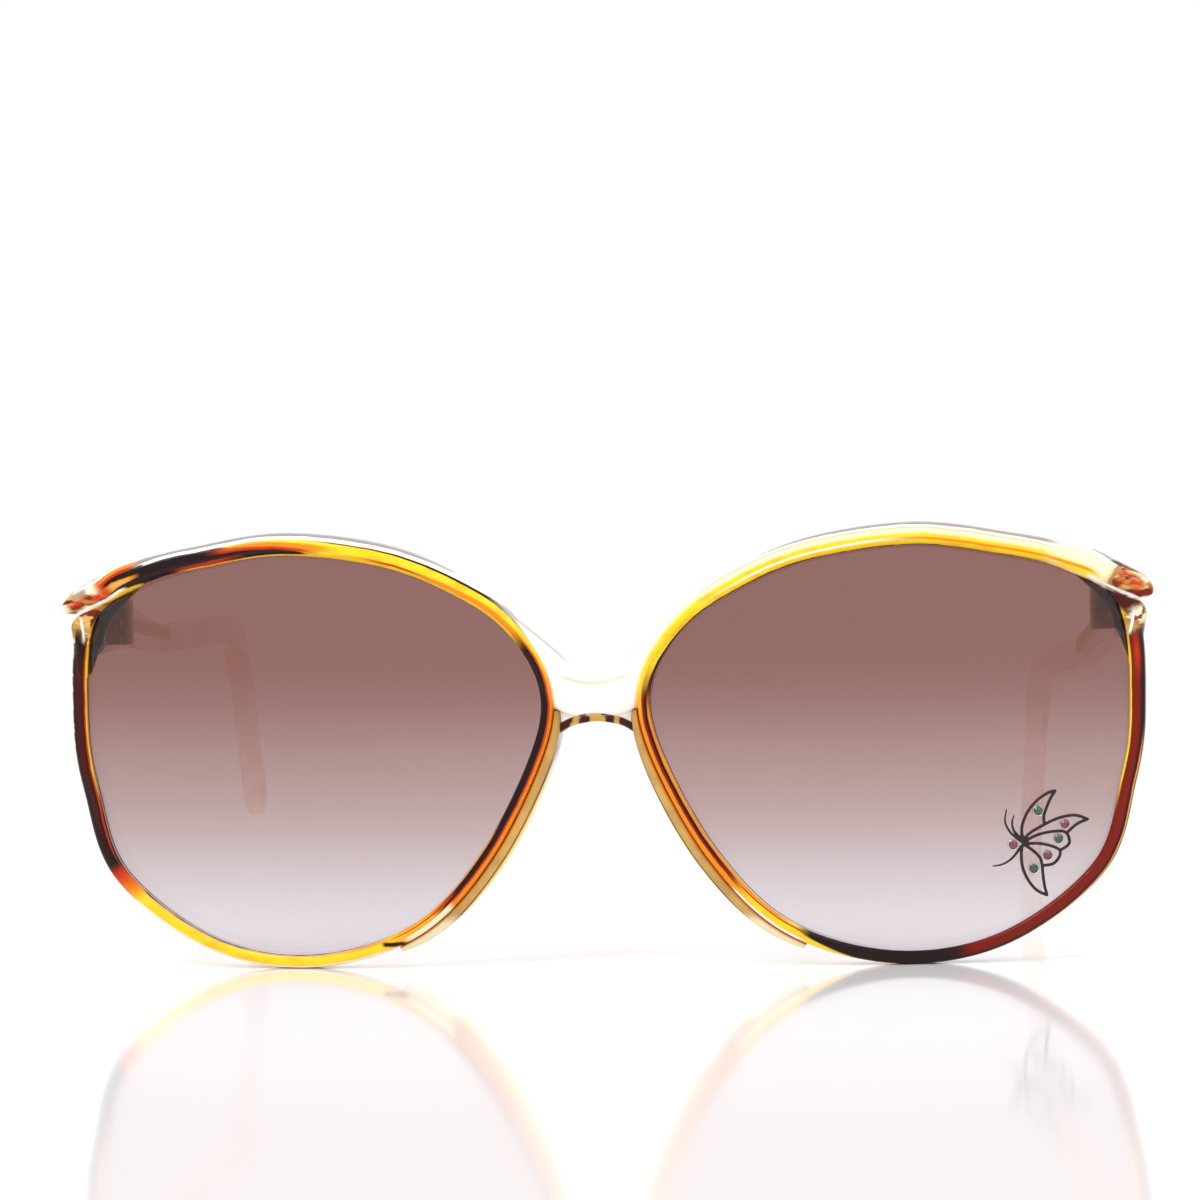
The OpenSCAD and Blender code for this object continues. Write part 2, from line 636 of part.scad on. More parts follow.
// Butterfly: strokes in millimetres from the body's middle, drawn for a width of BUTTERFLY_DRAWN
BUTTERFLY_DRAWN = 12.7;
butterfly_at = [0.552, -0.484];
STROKES = [
    // upper wing
    [[0, 0.3], [-0.16, 1.6], [0.27, 3.1], [1.07, 4.5], [2.15, 5.6], [3.33, 6.35], [4.38, 6.66]],
    [[4.38, 6.66], [3.75, 5.7], [3.2, 4.5], [2.8, 3.3], [2.85, 2.15]],
    // second wing
    [[0, 0.2], [1.07, 1.18], [2.85, 2.15], [4.1, 2.75], [5.5, 3.17], [7.1, 3.25], [8.61, 2.69]],
    [[8.61, 2.69], [7.2, 2.15], [5.91, 1.07]],
    // middle lobe
    [[0.2, 0], [1.93, 0.8], [4.0, 1.2], [5.6, 1.05], [6.12, -0.1], [5.8, -0.8], [4.89, -1.34]],
    [[0.4, -0.35], [2.15, -0.36], [3.87, -0.8], [4.89, -1.34]],
    // lower lobe
    [[4.89, -1.34], [4.75, -2.2], [3.9, -3.15], [2.45, -3.35]],
    [[0.2, -0.5], [1.29, -1.3], [2.2, -2.3], [2.45, -3.35]],
    // lower wing
    [[-0.1, -0.5], [-0.27, -1.9], [-0.1, -3.6], [0.55, -5.2], [1.6, -6.6], [3.02, -7.4]],
    [[3.02, -7.4], [2.65, -5.7], [2.45, -3.35]],
    // antennae and feeler
    [[-0.3, 0.3], [-1.5, 1.07], [-2.3, 2.6], [-2.09, 4.35]],
    [[-0.3, 0.4], [-1.2, 1.5], [-1.38, 2.6], [-1.13, 3.5]],
    [[-0.2, -0.6], [-1.4, -2.15], [-2.7, -3.0], [-4.08, -3.24]]
];
// Body: a short thick stroke
BODY = [[-1.0, 0.75], [-0.1, 0.05], [0.7, -0.4]];
STONE_PLACES = [[-1.34, -0.38], [2.0, 4.08], [5.5, 2.2], [4.62, 0.27], [3.17, -1.93], [1.29, -3.65]];
butterfly_k = butterfly_w / BUTTERFLY_DRAWN;
function on_lens(p) = [
    lens_x + butterfly_at[0] * lens_w / 2 + p[0] * butterfly_k,
    lens_z + butterfly_at[1] * lens_h / 2 + p[1] * butterfly_k
];
// Distance from the lens middle to its edge, by direction
edge_polar = [for (p = outline) [(atan2(p[1], p[0]) + 360) % 360, norm(p)]];
edge_first = [
    for (i = [0:OUTLINE_N - 1]) if (edge_polar[i][0] < edge_polar[(i + OUTLINE_N - 1) % OUTLINE_N][0]) i
][0];
edge_table = [
    for (turn = [-1, 0, 1], i = [0:OUTLINE_N - 1])
        edge_polar[(i + edge_first) % OUTLINE_N] + [turn * 360, 0]
];
function lens_skin(x, z) = let (
        p = [x - lens_x, z - lens_z],
        share = norm(p) / lookup((atan2(p[1], p[0]) + 360) % 360, edge_table)
    ) front_y + bow(x, z) + lens_front - lens_dome * (1 - share * share);
module on_skin(p) {
    e = 0.5;
    y = lens_skin(p[0], p[1]);
    tilt_x = atan((lens_skin(p[0] + e, p[1]) - lens_skin(p[0] - e, p[1])) / (2 * e));
    tilt_z = atan((lens_skin(p[0], p[1] + e) - lens_skin(p[0], p[1] - e)) / (2 * e));
    translate([p[0], y - bond_gap, p[1]]) rotate([90 - tilt_z, 0, 0]) rotate([0, tilt_x, 0]) children();
}
// Stroke drawn flat, as it is seen from the front
module stroke(points, steps, width, taper) {
    line = open_curve(points, steps);
    last = len(line) - 1;
    for (i = [0:last - 1]) hull() {
        for (k = [i, i + 1])
            translate(on_lens(line[k])) circle(d = width * (1 - taper * k / last), $fn = 10);
    }
}
// The strokes stand straight out from the front and are cut from a shell that lies on the lens
module butterfly_wire() {
    color([0.20, 0.18, 0.19]) intersection() {
        rotate([90, 0, 0]) linear_extrude(height = -front_y) {
            for (i = [0:9]) stroke(STROKES[i], 2, wire_w, 0);
            for (i = [10:12]) stroke(STROKES[i], 2, wire_w, 0.55);
            stroke(BODY, 1, wire_w * 1.6, 0);
        }
        difference() {
            translate([0, -bond_gap - wire_t, 0]) ring_bar(lens_rings());
            translate([0, -bond_gap, 0]) ring_bar(lens_rings());
        }
    }
}
setting_floor = 0.12;
module setting(i) {
    r = stone_r + setting_wall;
    color([0.80, 0.80, 0.80]) on_skin(on_lens(STONE_PLACES[i])) difference() {
        cylinder(r = r, h = setting_h, $fn = 32);
        translate([0, 0, setting_floor]) cylinder(r = stone_r + bond_gap / 2, h = setting_h, $fn = 32);
    }
}
module stone(i) {
    girdle = setting_h - setting_floor - bond_gap;
    color(i % 2 == 0 ? [0.55, 0.08, 0.18] : [0.05, 0.30, 0.18])
        on_skin(on_lens(STONE_PLACES[i])) translate([0, 0, setting_floor + bond_gap]) {
            cylinder(r = stone_r, h = girdle, $fn = 8);
            translate([0, 0, girdle]) cylinder(r1 = stone_r, r2 = stone_r * 0.6, h = stone_r * 0.35, $fn = 8);
        }
}

front_frame();
lens(LEFT);  // lens_left
lens(RIGHT);  // lens_right
nose_pad(LEFT);  // nose_pad_left
nose_pad(RIGHT);  // nose_pad_right
temple(LEFT);  // temple_left
temple(RIGHT);  // temple_right
hinge_front(LEFT);  // hinge_front_left
hinge_front(RIGHT);  // hinge_front_right
hinge_temple(LEFT);  // hinge_temple_left
hinge_temple(RIGHT);  // hinge_temple_right
hinge_screw(LEFT);  // hinge_screw_left
hinge_screw(RIGHT);  // hinge_screw_right
butterfly_wire();
for (i = [0:len(STONES) - 1]) {
    setting(i);
    stone(i);
}
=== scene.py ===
"""Rhinestone sunglasses: fine shapes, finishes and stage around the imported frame."""

import json
import math
from itertools import product
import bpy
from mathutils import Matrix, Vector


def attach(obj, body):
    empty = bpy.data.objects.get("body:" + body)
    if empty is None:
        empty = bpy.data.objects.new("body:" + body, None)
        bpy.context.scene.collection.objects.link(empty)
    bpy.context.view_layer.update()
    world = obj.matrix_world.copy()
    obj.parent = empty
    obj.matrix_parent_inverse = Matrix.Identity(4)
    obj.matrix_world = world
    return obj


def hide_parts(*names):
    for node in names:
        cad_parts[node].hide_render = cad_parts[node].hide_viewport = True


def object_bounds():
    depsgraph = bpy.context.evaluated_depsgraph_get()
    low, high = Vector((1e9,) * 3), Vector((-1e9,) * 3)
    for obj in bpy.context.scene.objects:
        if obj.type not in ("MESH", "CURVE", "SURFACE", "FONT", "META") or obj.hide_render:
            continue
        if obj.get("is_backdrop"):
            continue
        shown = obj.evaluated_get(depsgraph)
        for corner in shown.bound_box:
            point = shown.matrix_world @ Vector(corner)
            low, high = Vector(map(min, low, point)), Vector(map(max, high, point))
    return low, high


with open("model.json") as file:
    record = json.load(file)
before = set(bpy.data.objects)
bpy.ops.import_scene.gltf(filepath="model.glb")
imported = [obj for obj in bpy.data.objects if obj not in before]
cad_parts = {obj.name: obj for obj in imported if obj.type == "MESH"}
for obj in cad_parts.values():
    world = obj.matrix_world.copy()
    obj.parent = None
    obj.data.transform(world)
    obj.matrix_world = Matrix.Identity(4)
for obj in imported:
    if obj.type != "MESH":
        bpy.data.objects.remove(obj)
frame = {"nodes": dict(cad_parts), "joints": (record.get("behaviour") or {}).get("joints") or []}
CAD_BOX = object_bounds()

from types import SimpleNamespace

import bmesh
import bpy
import numpy as np
from bpy.props import FloatProperty, FloatVectorProperty, PointerProperty
from mathutils import Matrix, Vector
from mathutils.kdtree import KDTree

bl_info = {
    "name": "Rhinestone Sunglasses",
    "version": (1, 0, 0),
    "blender": (4, 5, 0),
    "location": "3D View > Sidebar > Sunglasses",
    "description": "Builds the moulded front, lenses, pads, arms and butterfly on the packed frame",
    "category": "Object",
}

MM = 0.001
LEFT = 1
RIGHT = -1
SIDES = {LEFT: "left", RIGHT: "right"}
JOINTS = {joint["name"]: joint for joint in frame["joints"]}
HINGE = Vector(JOINTS["left_temple_fold"]["pos_m"]) / MM


def srgb(red, green, blue):
    """Linear colour of a screen colour from 0 to 255."""
    shares = [channel / 255 for channel in (red, green, blue)]
    return tuple(s / 12.92 if s <= 0.04045 else ((s + 0.055) / 1.055) ** 2.4 for s in shares)


def length(name, description, size):
    """A length property: size is in millimetres, the property in metres."""
    return FloatProperty(
        name=name, description=description, default=size * MM, min=0, unit="LENGTH", precision=5)


def angle(name, description, degrees):
    """An angle property: the default is in degrees, the property in radians."""
    return FloatProperty(
        name=name, description=description, default=math.radians(degrees), subtype="ANGLE", unit="ROTATION")


def tint(name, description, *screen):
    """A colour property from a screen colour."""
    return FloatVectorProperty(
        name=name, description=description, default=srgb(*screen), size=3, min=0, max=1, subtype="COLOR")


class FrontSettings(bpy.types.PropertyGroup):
    end_reach: length("Endpiece reach", "How far the endpieces reach out past the lenses", 3.6)
    rim_depth: length("Rim depth", "Depth of the rims from front to back", 4.2)
    rim_side: length("Side rim", "Width of the rim on the temple side", 2.1)
    rim_bottom: length("Bottom rim", "Width of the rim under the lens", 1.8)
    rim_nose: length("Nose rim", "Width of the rim on the nose side", 1.6)
    rim_top: length("Top rim", "Width of the rim behind the brow bar", 2.3)
    brow_h: length("Brow height", "Height of the brow bar over the middle of a lens", 2.7)
    brow_proud: length("Brow proud", "How far the brow bar stands proud of the rims", 0.9)
    brow_lip: length("Brow lip", "How far the brow bar starts above the lens edge", 0.25)
    bow_r: length("Bow radius", "Radius of the front's bow, seen from above", 340)
    bow_side_r: length("Side bow radius", "Radius of the front's bow, seen from the side", 260)
    bridge_h: length("Bridge height", "Height of the clear bridge at its middle", 5.0)
    bridge_rise: length("Bridge rise", "Middle of the bridge above the middle of the lenses", 6.8)
    arch_h: length("Arch height", "Height of the arch under the bridge", 1.1)
    arch_depth: length("Arch depth", "How far the arch reaches back from the front", 6.8)
    end_rise: length("Endpiece rise", "Middle of the endpiece above the middle of the lenses", 19.7)
    end_depth: length("Endpiece depth", "Depth from the front of the endpiece to the hinge line", 7.4)
    end_run: length("Endpiece run", "Length of the endpiece's free tip", 8.8)
    end_inset: length("Endpiece inset", "Where the endpiece's depth is measured, in from its tip", 2.5)
    pad_t: length("Pad thickness", "Thickness of a nose pad", 1.5)
    pad_depth: length("Pad depth", "How far a nose pad reaches back from the front", 8.6)
    pad_gap: length("Pad bond line", "Bond line between a nose pad and the rim", 0.05)
    voxel: length("Blend size", "Grain at which the moulding's parts are blended", 0.2)


class LensSettings(bpy.types.PropertyGroup):
    width: length("Width", "Width of the lens that shows inside the rim", 61.5)
    height: length("Height", "Height of the lens that shows inside the rim", 53.0)
    gap: length("Gap", "Gap between the two lenses at the bridge", 14.8)
    thickness: length("Thickness", "Thickness of a lens", 2.0)
    dome: length("Dome", "How far the middle of a lens is domed forwards", 1.8)
    bevel: length("Bevel", "How deep the lens edge sits in its groove", 0.55)
    groove_gap: length("Groove clearance", "Clearance between the lens edge and its groove", 0.1)
    seat: length("Seat", "Depth of the lens's front edge behind the front surface", 1.1)


class TempleSettings(bpy.types.PropertyGroup):
    arm_len: length("Arm length", "Length of the straight arm, from the hinge line to the bend", 92)
    dip: length("Dip", "How far the arm dips below the hinge behind its root", 3.2)
    dip_run: length("Dip run", "Length over which the arm dips and narrows", 40)
    bend_r: length("Bend radius", "Radius of the bend over the ear", 16)
    bend_angle: angle("Bend", "Angle that the drop end turns down by", 60)
    drop_len: length("Drop length", "Length of the straight drop end", 23)
    thickness: length("Thickness", "Thickness of the arm", 3.3)
    root_h: length("Root height", "Height of the arm at the hinge", 8.4)
    mid_h: length("Middle height", "Height of the arm along its middle", 4.4)
    tip_h: length("Tip height", "Height of the arm near its tip", 4.8)
    barrel_r: length("Barrel radius", "Radius of the hinge barrel", 1.3)
    inner: length("Inner face", "Inner face of the arm from the hinge line", 1.9)
    face_gap: length("Face gap", "Gap between the ends of the endpiece and the arm", 0.24)
    leaf_t: length("Leaf thickness", "Thickness of the hinge leaves", 0.7)
    leaf_gap: length("Leaf gap", "Fitting gap round the hinge leaves", 0.02)
    front_leaf_len: length("Front leaf", "Length of the leaf on the front", 3.8)
    front_leaf_h: length("Front leaf height", "Height of the leaf on the front", 6.0)
    leaf_len: length("Temple leaf", "Length of the leaf on the temple", 7.5)
    leaf_h: length("Temple leaf height", "Height of the leaf on the temple", 4.4)
    tang_len: length("Tang length", "Length of the tang behind the temple's leaf", 34)
    tang_h: length("Tang height", "Height of the tang", 1.9)
    left_fold: angle("Left fold", "How far the wearer's-left temple stands folded in", 8)
    right_splay: angle("Right splay", "How far the wearer's-right temple stands past straight", 1)


class ButterflySettings(bpy.types.PropertyGroup):
    width: length("Width", "Width of the butterfly over its feeler and wing tips", 12.4)
    wire_w: length("Wire width", "Width of its wire", 0.42)
    wire_t: length("Wire height", "Height of its wire above the lens", 0.3)
    stone_r: length("Stone radius", "Radius of a stone", 0.56)
    setting_wall: length("Setting wall", "Wall of a stone's setting", 0.13)
    setting_h: length("Setting height", "Height of a stone's setting", 0.45)
    bond_gap: length("Bond line", "Bond line between the ornament and the lens", 0.03)


class ColourSettings(bpy.types.PropertyGroup):
    yellow: tint("Yellow", "Clear yellow of the shell pattern", 255, 214, 38)
    amber: tint("Amber", "Amber between yellow and red", 240, 138, 24)
    red: tint("Red", "Orange-red edges of the dark patches", 196, 48, 10)
    brown: tint("Brown", "Near-black brown of the shell pattern", 30, 12, 8)
    mahogany: tint("Mahogany", "Deep red-brown inside the dark patches", 118, 22, 8)
    maroon: tint("Maroon", "Dark red of the recesses", 66, 14, 8)
    gold: tint("Gold", "Grey gold of the endpieces", 172, 122, 54)
    peach: tint("Peach", "Thin line along the lens edge", 214, 160, 128)
    cream: tint("Cream", "Pale ends of the yellow", 250, 238, 196)
    # White is the clear plastic of the bridge; the white lines on the brow and along the rims' and endpieces'
    # edges are painted highlights.
    white: tint("White", "Clear plastic of the bridge and the brow's upper edge", 252, 248, 244)
    # Along outlines, grey is painted shade: the dark line where the clear plastic's edges refract dark.
    grey: tint("Grey", "Outline of the clear plastic", 150, 142, 140)
    tan: tint("Tan", "Nose pads", 214, 168, 88)
    lens_top: tint("Lens top", "Lens tint over its upper half", 142, 97, 91)
    lens_mid: tint("Lens middle", "Lens tint below the middle", 176, 148, 146)
    lens_low: tint("Lens bottom", "Lens tint at the bottom", 220, 214, 219)
    arm: tint("Arm", "Near-clear plastic of the arms", 244, 214, 194)
    brass: tint("Brass", "Hinges", 232, 212, 176)
    wire: tint("Wire", "Dark plated wire of the butterfly", 62, 54, 56)
    stone_red: tint("Red stones", "Glass of the red stones", 132, 24, 62)
    stone_green: tint("Green stones", "Glass of the green stones", 10, 78, 50)


class StageSettings(bpy.types.PropertyGroup):
    camera_lens: FloatProperty(name="Lens", description="Focal length in millimetres", default=138.42, min=20)
    camera_place: FloatVectorProperty(
        name="Camera place", description="Place of the camera", default=(72.2 * MM, -662.4 * MM, 68.1 * MM),
        size=3, subtype="TRANSLATION", unit="LENGTH")
    camera_pan: angle("Pan", "Turn of the camera to the left", 6.815)
    camera_tilt: angle("Tilt", "Tilt of the camera downwards", 1.887)
    camera_roll: angle("Roll", "Roll of the camera", -1.163)
    floor_size: FloatProperty(name="Floor size", description="Side of the floor", default=3.0, unit="LENGTH")
    fade_from: length("Fade from", "Distance at which the floor starts to fade into the background", 150)
    fade_to: length("Fade to", "Distance at which the floor has become the background", 900)


def values_of(settings):
    """The values of a property group: lengths in millimetres, colours as tuples, the rest as they are."""
    values = {}
    for key, rna in settings.bl_rna.properties.items():
        if key not in ("rna_type", "name"):
            value = getattr(settings, key)
            values[key] = tuple(value) if rna.is_array else value / MM if rna.unit == "LENGTH" else value
    return SimpleNamespace(**values)


# Curves through given points

def curve_point(a, b, c, d, t):
    """Point at the share t between b and c of a smooth curve through a, b, c and d."""
    return (2 * b + (c - a) * t + (2 * a - 5 * b + 4 * c - d) * t**2 + (3 * b - a - 3 * c + d) * t**3) / 2


def closed_curve(points, steps):
    """Smooth closed curve through points, with steps places to each."""
    points = np.asarray(points, float)
    count = len(points)
    return np.array([
        curve_point(points[i - 1], points[i], points[(i + 1) % count], points[(i + 2) % count], k / steps)
        for i in range(count) for k in range(steps)
    ])


def open_curve(points, steps):
    """Smooth curve from the first point to the last, with steps places to each stretch."""
    points = np.asarray(points, float)
    last = len(points) - 1
    line = [
        curve_point(points[max(i - 1, 0)], points[i], points[i + 1], points[min(i + 2, last)], k / steps)
        for i in range(last) for k in range(steps)
    ]
    return np.array(line + [points[last]])


def ease(low, high, value):
    """Smooth step from 0 at low to 1 at high."""
    t = np.clip((value - low) / (high - low), 0, 1)
    return t * t * (3 - 2 * t)


def turns(sides):
    """Angles of the sides of a round ring."""
    return np.linspace(0, 2 * math.pi, sides, endpoint=False)


def unit(vector):
    """Vectors scaled to length 1."""
    return vector / np.linalg.norm(vector, axis=-1, keepdims=True)


# Outline of the wearer's-left lens as shares of its half width and half height,
# from the temple side over the top to the nose side and back along the bottom
LENS_SHARES = [
    (1.01, 0.155), (0.975, 0.65), (0.74, 0.845), (0.455, 0.93),
    (0.10, 0.98), (-0.33, 0.915), (-0.65, 0.765), (-0.865, 0.585),
    (-1.0, 0.31), (-0.965, 0.0), (-0.735, -0.505), (-0.425, -0.865),
    (0.02, -1.015), (0.46, -0.93), (0.845, -0.60), (0.965, -0.2),
]
OUTLINE_STEPS = 20
# Places on this outline, counted in its points, between which the brow bar swells up and dies away
BROW_RISES, BROW_FALLS = (0.9, 1.8), (4.2, 7.9)


class Outline:
    """Lens outline, rim widths and the bowed front surface, in millimetres."""

    def __init__(self, scene):
        self.front = values_of(scene.sunglasses_front)
        self.lens = values_of(scene.sunglasses_lens)
        front, lens = self.front, self.lens
        self.lens_x = (lens.gap + lens.width) / 2
        self.points = closed_curve(LENS_SHARES, OUTLINE_STEPS) * (lens.width / 2, lens.height / 2)
        along = np.roll(self.points, -1, axis=0) - np.roll(self.points, 1, axis=0)
        self.normals = unit(np.stack([along[:, 1], -along[:, 0]], axis=1))
        self.count = len(self.points)
        places = np.arange(self.count) / OUTLINE_STEPS
        direction = unit(self.points)
        level = np.where(direction[:, 0] > 0, front.rim_side, front.rim_nose)
        upright = np.where(direction[:, 1] > 0, front.rim_top, front.rim_bottom)
        self.widths = direction[:, 0] ** 2 * level + direction[:, 1] ** 2 * upright
        self.brow = ease(*BROW_RISES, places) * (1 - ease(*BROW_FALLS, places))
        self.lens_z = -(self.points[:, 1] + self.normals[:, 1] * self.widths).min()
        self.end_x = lens.gap / 2 + lens.width + front.end_reach
        self.end_z = self.lens_z + front.end_rise
        self.bridge_z = self.lens_z + front.bridge_rise
        self.middle = np.array([self.lens_x, self.lens_z])
        hinge_depth = self.bow(self.end_x - front.end_inset, HINGE.z) + front.end_depth
        self.front_y = HINGE.y - hinge_depth

    def angles(self):
        """Angle of each step round the lens, from the temple side over the top."""
        return np.arctan2(self.points[:, 1], self.points[:, 0])

    def bow(self, x, z):
        """How far the front surface lies back from its foremost point."""
        return x**2 / (2 * self.front.bow_r) + (z - self.lens_z) ** 2 / (2 * self.front.bow_side_r)

    def at_front(self, x, z, depth):
        """Points at a depth behind the front surface."""
        x, z, depth = np.broadcast_arrays(x, z, depth)
        return np.stack([x, self.front_y + self.bow(x, z) + depth, z], axis=-1)

    def across(self, point, normal, out, depth):
        """Points at a distance along the normal of a bar and a depth."""
        return self.at_front(point[0] + normal[0] * out, point[1] + normal[1] * out, depth)

    def ring_points(self, index, out, depth):
        """Points at a distance out from the lens edge and a depth, at one step of the outline."""
        return self.across(self.points[index] + self.middle, self.normals[index], out, depth)

    def over_lens(self, place, out, half):
        """A bar's knot, out from the lens edge at a place on the outline."""
        index = round(place * OUTLINE_STEPS)
        return (*(self.points[index] + self.normals[index] * out + self.middle), half)


# Meshes from rings of points

def ring_mesh(rings, closed=False):
    """Vertices and faces of a skin over rings, capped at its ends unless it is closed."""
    count, sides = len(rings), len(rings[0])
    vertices = np.concatenate(rings)
    faces = []
    for i in range(count if closed else count - 1):
        for j in range(sides):
            a, b = i * sides + j, i * sides + (j + 1) % sides
            c, d = (i + 1) % count * sides + (j + 1) % sides, (i + 1) % count * sides + j
            faces.append((a, b, c, d))
    if not closed:
        faces.append(tuple(reversed(range(sides))))
        faces.append(tuple((count - 1) * sides + j for j in range(sides)))
    return vertices, faces


def join_meshes(parts):
    """Parts of vertices and faces as one."""
    vertices, faces, start = [], [], 0
    for part_vertices, part_faces in parts:
        vertices.append(part_vertices)
        faces += [tuple(v + start for v in face) for face in part_faces]
        start += len(part_vertices)
    return np.concatenate(vertices), faces


def hull_mesh(points):
    """Convex hull of points."""
    form = bmesh.new()
    for point in points:
        form.verts.new(point)
    bmesh.ops.convex_hull(form, input=form.verts)
    loose = [v for v in form.verts if not v.link_faces]
    bmesh.ops.delete(form, geom=loose, context="VERTS")
    form.verts.index_update()
    vertices = np.array([v.co for v in form.verts])
    faces = [tuple(v.index for v in face.verts) for face in form.faces]
    form.free()
    return vertices, faces


def on_side(part, side):
    """A part of the left half, mirrored for the right one."""
    if side == LEFT:
        return part
    vertices, faces = part
    return vertices * (-1, 1, 1), [tuple(reversed(face)) for face in faces]


def places_of(piece):
    """Places of a piece's vertices in millimetres."""
    return np.array([vertex.co for vertex in piece.data.vertices]) / MM


def smooth(mesh, sharp=None):
    """Smooth shading, with creases at edges that turn by more than sharp degrees."""
    mesh.shade_smooth()
    if sharp is not None:
        mesh.set_sharp_from_angle(angle=math.radians(sharp))


def new_piece(name, part, sharp=None):
    """An object from vertices in millimetres, with outward faces and smooth shading."""
    vertices, faces = part
    mesh = bpy.data.meshes.new(name)
    mesh.from_pydata((vertices * MM).tolist(), [], faces)
    form = bmesh.new()
    form.from_mesh(mesh)
    bmesh.ops.recalc_face_normals(form, faces=form.faces)
    form.to_mesh(mesh)
    form.free()
    smooth(mesh, sharp)
    piece = bpy.data.objects.new(name, mesh)
    bpy.context.scene.collection.objects.link(piece)
    return piece


def with_modifier(piece, kind, **settings):
    """Applies one modifier to a piece."""
    modifier = piece.modifiers.new(kind.title(), kind)
    for key, value in settings.items():
        setattr(modifier, key, value)
    graph = bpy.context.evaluated_depsgraph_get()
    mesh = bpy.data.meshes.new_from_object(piece.evaluated_get(graph))
    piece.modifiers.clear()
    old, piece.data = piece.data, mesh
    bpy.data.meshes.remove(old)
    return piece


def blended(piece, voxel, rounds):
    """Melts a piece's overlapping parts into one smooth skin."""
    with_modifier(piece, "REMESH", mode="VOXEL", voxel_size=voxel * MM, use_smooth_shade=True)
    return with_modifier(piece, "SMOOTH", factor=0.5, iterations=rounds)


def cut(piece, cutter, sharp=30):
    """Takes the cutter's volume out of a piece."""
    with_modifier(piece, "BOOLEAN", operation="DIFFERENCE", solver="MANIFOLD", object=cutter)
    bpy.data.objects.remove(cutter)
    smooth(piece.data, sharp)


def at_hinge(points, side, fold=0.0):
    """Moves points from the hinge's frame to the whole's: mirrored, sloped with its axis and folded."""
    axis = JOINTS[SIDES[side] + "_temple_fold"]["axis"]
    slope = math.atan2(abs(axis[1]), abs(axis[2]))
    turn = Matrix.Rotation(-slope, 3, "X") @ Matrix.Rotation(fold, 3, "Z")
    moved = np.asarray(points) @ np.array(turn).T + np.array(HINGE)
    return moved * (side, 1, 1)


def finish_piece(piece, body, slot, material, *nodes):
    """Dresses a piece, lets it ride and has it stand for its CAD nodes."""
    piece.data.materials.clear()
    piece.data.materials.append(material)
    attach(piece, body)
    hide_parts(*nodes)


# The moulded front

# Rounds of smoothing where the moulding's parts are blended
MOULD_ROUNDS = 6


def rim_section(front, width):
    """[out from the lens edge, back from the front surface] round a rim of this width."""
    return np.array([
        (0, 0.12), (0.13, 0.03), (0.45, 0), (0.79, 0.03), (0.96, 0.14),
        (1, 0.36), (1, 0.71), (0.88, 0.92), (0.5, 1), (0, 0.9),
    ]) * (width, front.rim_depth)


def brow_section(front, height):
    """The same points where the brow bar swells the rim to this height."""
    depth, proud = front.rim_depth, front.brow_proud
    return np.array([
        (0, 0.08 * depth), (0.1, -0.4 * proud), (0.3, -proud), (0.68, -0.95 * proud), (0.9, -0.35 * proud),
        (1, 0.21 * depth), (1, 0.76 * depth), (0.88, 0.98 * depth), (0.55, 1.06 * depth), (0, 0.93 * depth),
    ]) * (height, 1)


# Angles round the lens between which the rim's front face sinks below the endpiece
RECESS = (25, 28, 35, 39)
RECESS_SHARE = 0.24


def rim_part(outline):
    """Rim with the brow bar swelling out of it and the groove for the lens."""
    front, lens = outline.front, outline.lens
    gap = lens.groove_gap
    groove = np.array([
        (0, lens.seat + lens.thickness + gap),
        (lens.bevel + gap, lens.seat + lens.thickness / 2),
        (0, lens.seat - gap),
    ])
    rings = []
    turn = np.degrees(outline.angles())
    recess = ease(*RECESS[:2], turn) * (1 - ease(*RECESS[2:], turn)) * RECESS_SHARE * front.rim_depth
    for i in range(outline.count):
        share = outline.brow[i]
        plain = rim_section(front, outline.widths[i])
        section = (1 - share) * plain + share * brow_section(front, front.brow_h + front.brow_lip)
        section[:, 1] += recess[i] * (1 - ease(0.2, 0.5, section[:, 1] / front.rim_depth))
        section = np.concatenate([open_curve(section, 4), groove])
        rings.append(outline.ring_points(i, section[:, 0], section[:, 1]))
    return ring_mesh(rings, closed=True)


def bar_section(front, half):
    """[share of the half height, back from the front surface] round a bar; a low bar is shallower too."""
    full = min(half / (0.44 * front.brow_h), 1)
    proud, middle = front.brow_proud * full, front.rim_depth / 2
    front_side = [(-0.75, -0.35), (-0.25, -1), (0.35, -0.95), (0.78, -0.35)]
    back_side = [(1.0, 0.52), (0.78, 0.93), (0.1, 1.1), (-0.7, 0.95), (-1.0, 0.52)]
    return np.array([
        (-0.97, middle - full * 0.71 * middle),
        *((up, out * proud) for up, out in front_side),
        (0.98, middle - full * 0.57 * middle),
        *((up, middle + full * back * middle) for up, back in back_side),
    ])


def bar_part(outline, knots, steps):
    """Bar along knots of (x, z, half height)."""
    line = open_curve(knots, steps)
    last = len(line) - 1
    rings = []
    for i, (x, z, half) in enumerate(line):
        along = line[min(i + 1, last)][:2] - line[max(i - 1, 0)][:2]
        normal = unit(np.array([-along[1], along[0]]))
        section = closed_curve(bar_section(outline.front, half), 3)
        rings.append(outline.across((x, z), normal, section[:, 0] * half, section[:, 1]))
    return ring_mesh(rings)


def end_place(outline, inward, up):
    """Place on the endpiece: shares of its free tip in from its end and up from its middle."""
    run = outline.front.end_run
    return outline.end_x - inward * run, outline.end_z + up * run


def end_knots(outline, shares):
    """Knots of a bar on the endpiece, with half heights as shares of the brow bar's height."""
    return [(*end_place(outline, inward, up), half * outline.front.brow_h) for inward, up, half in shares]


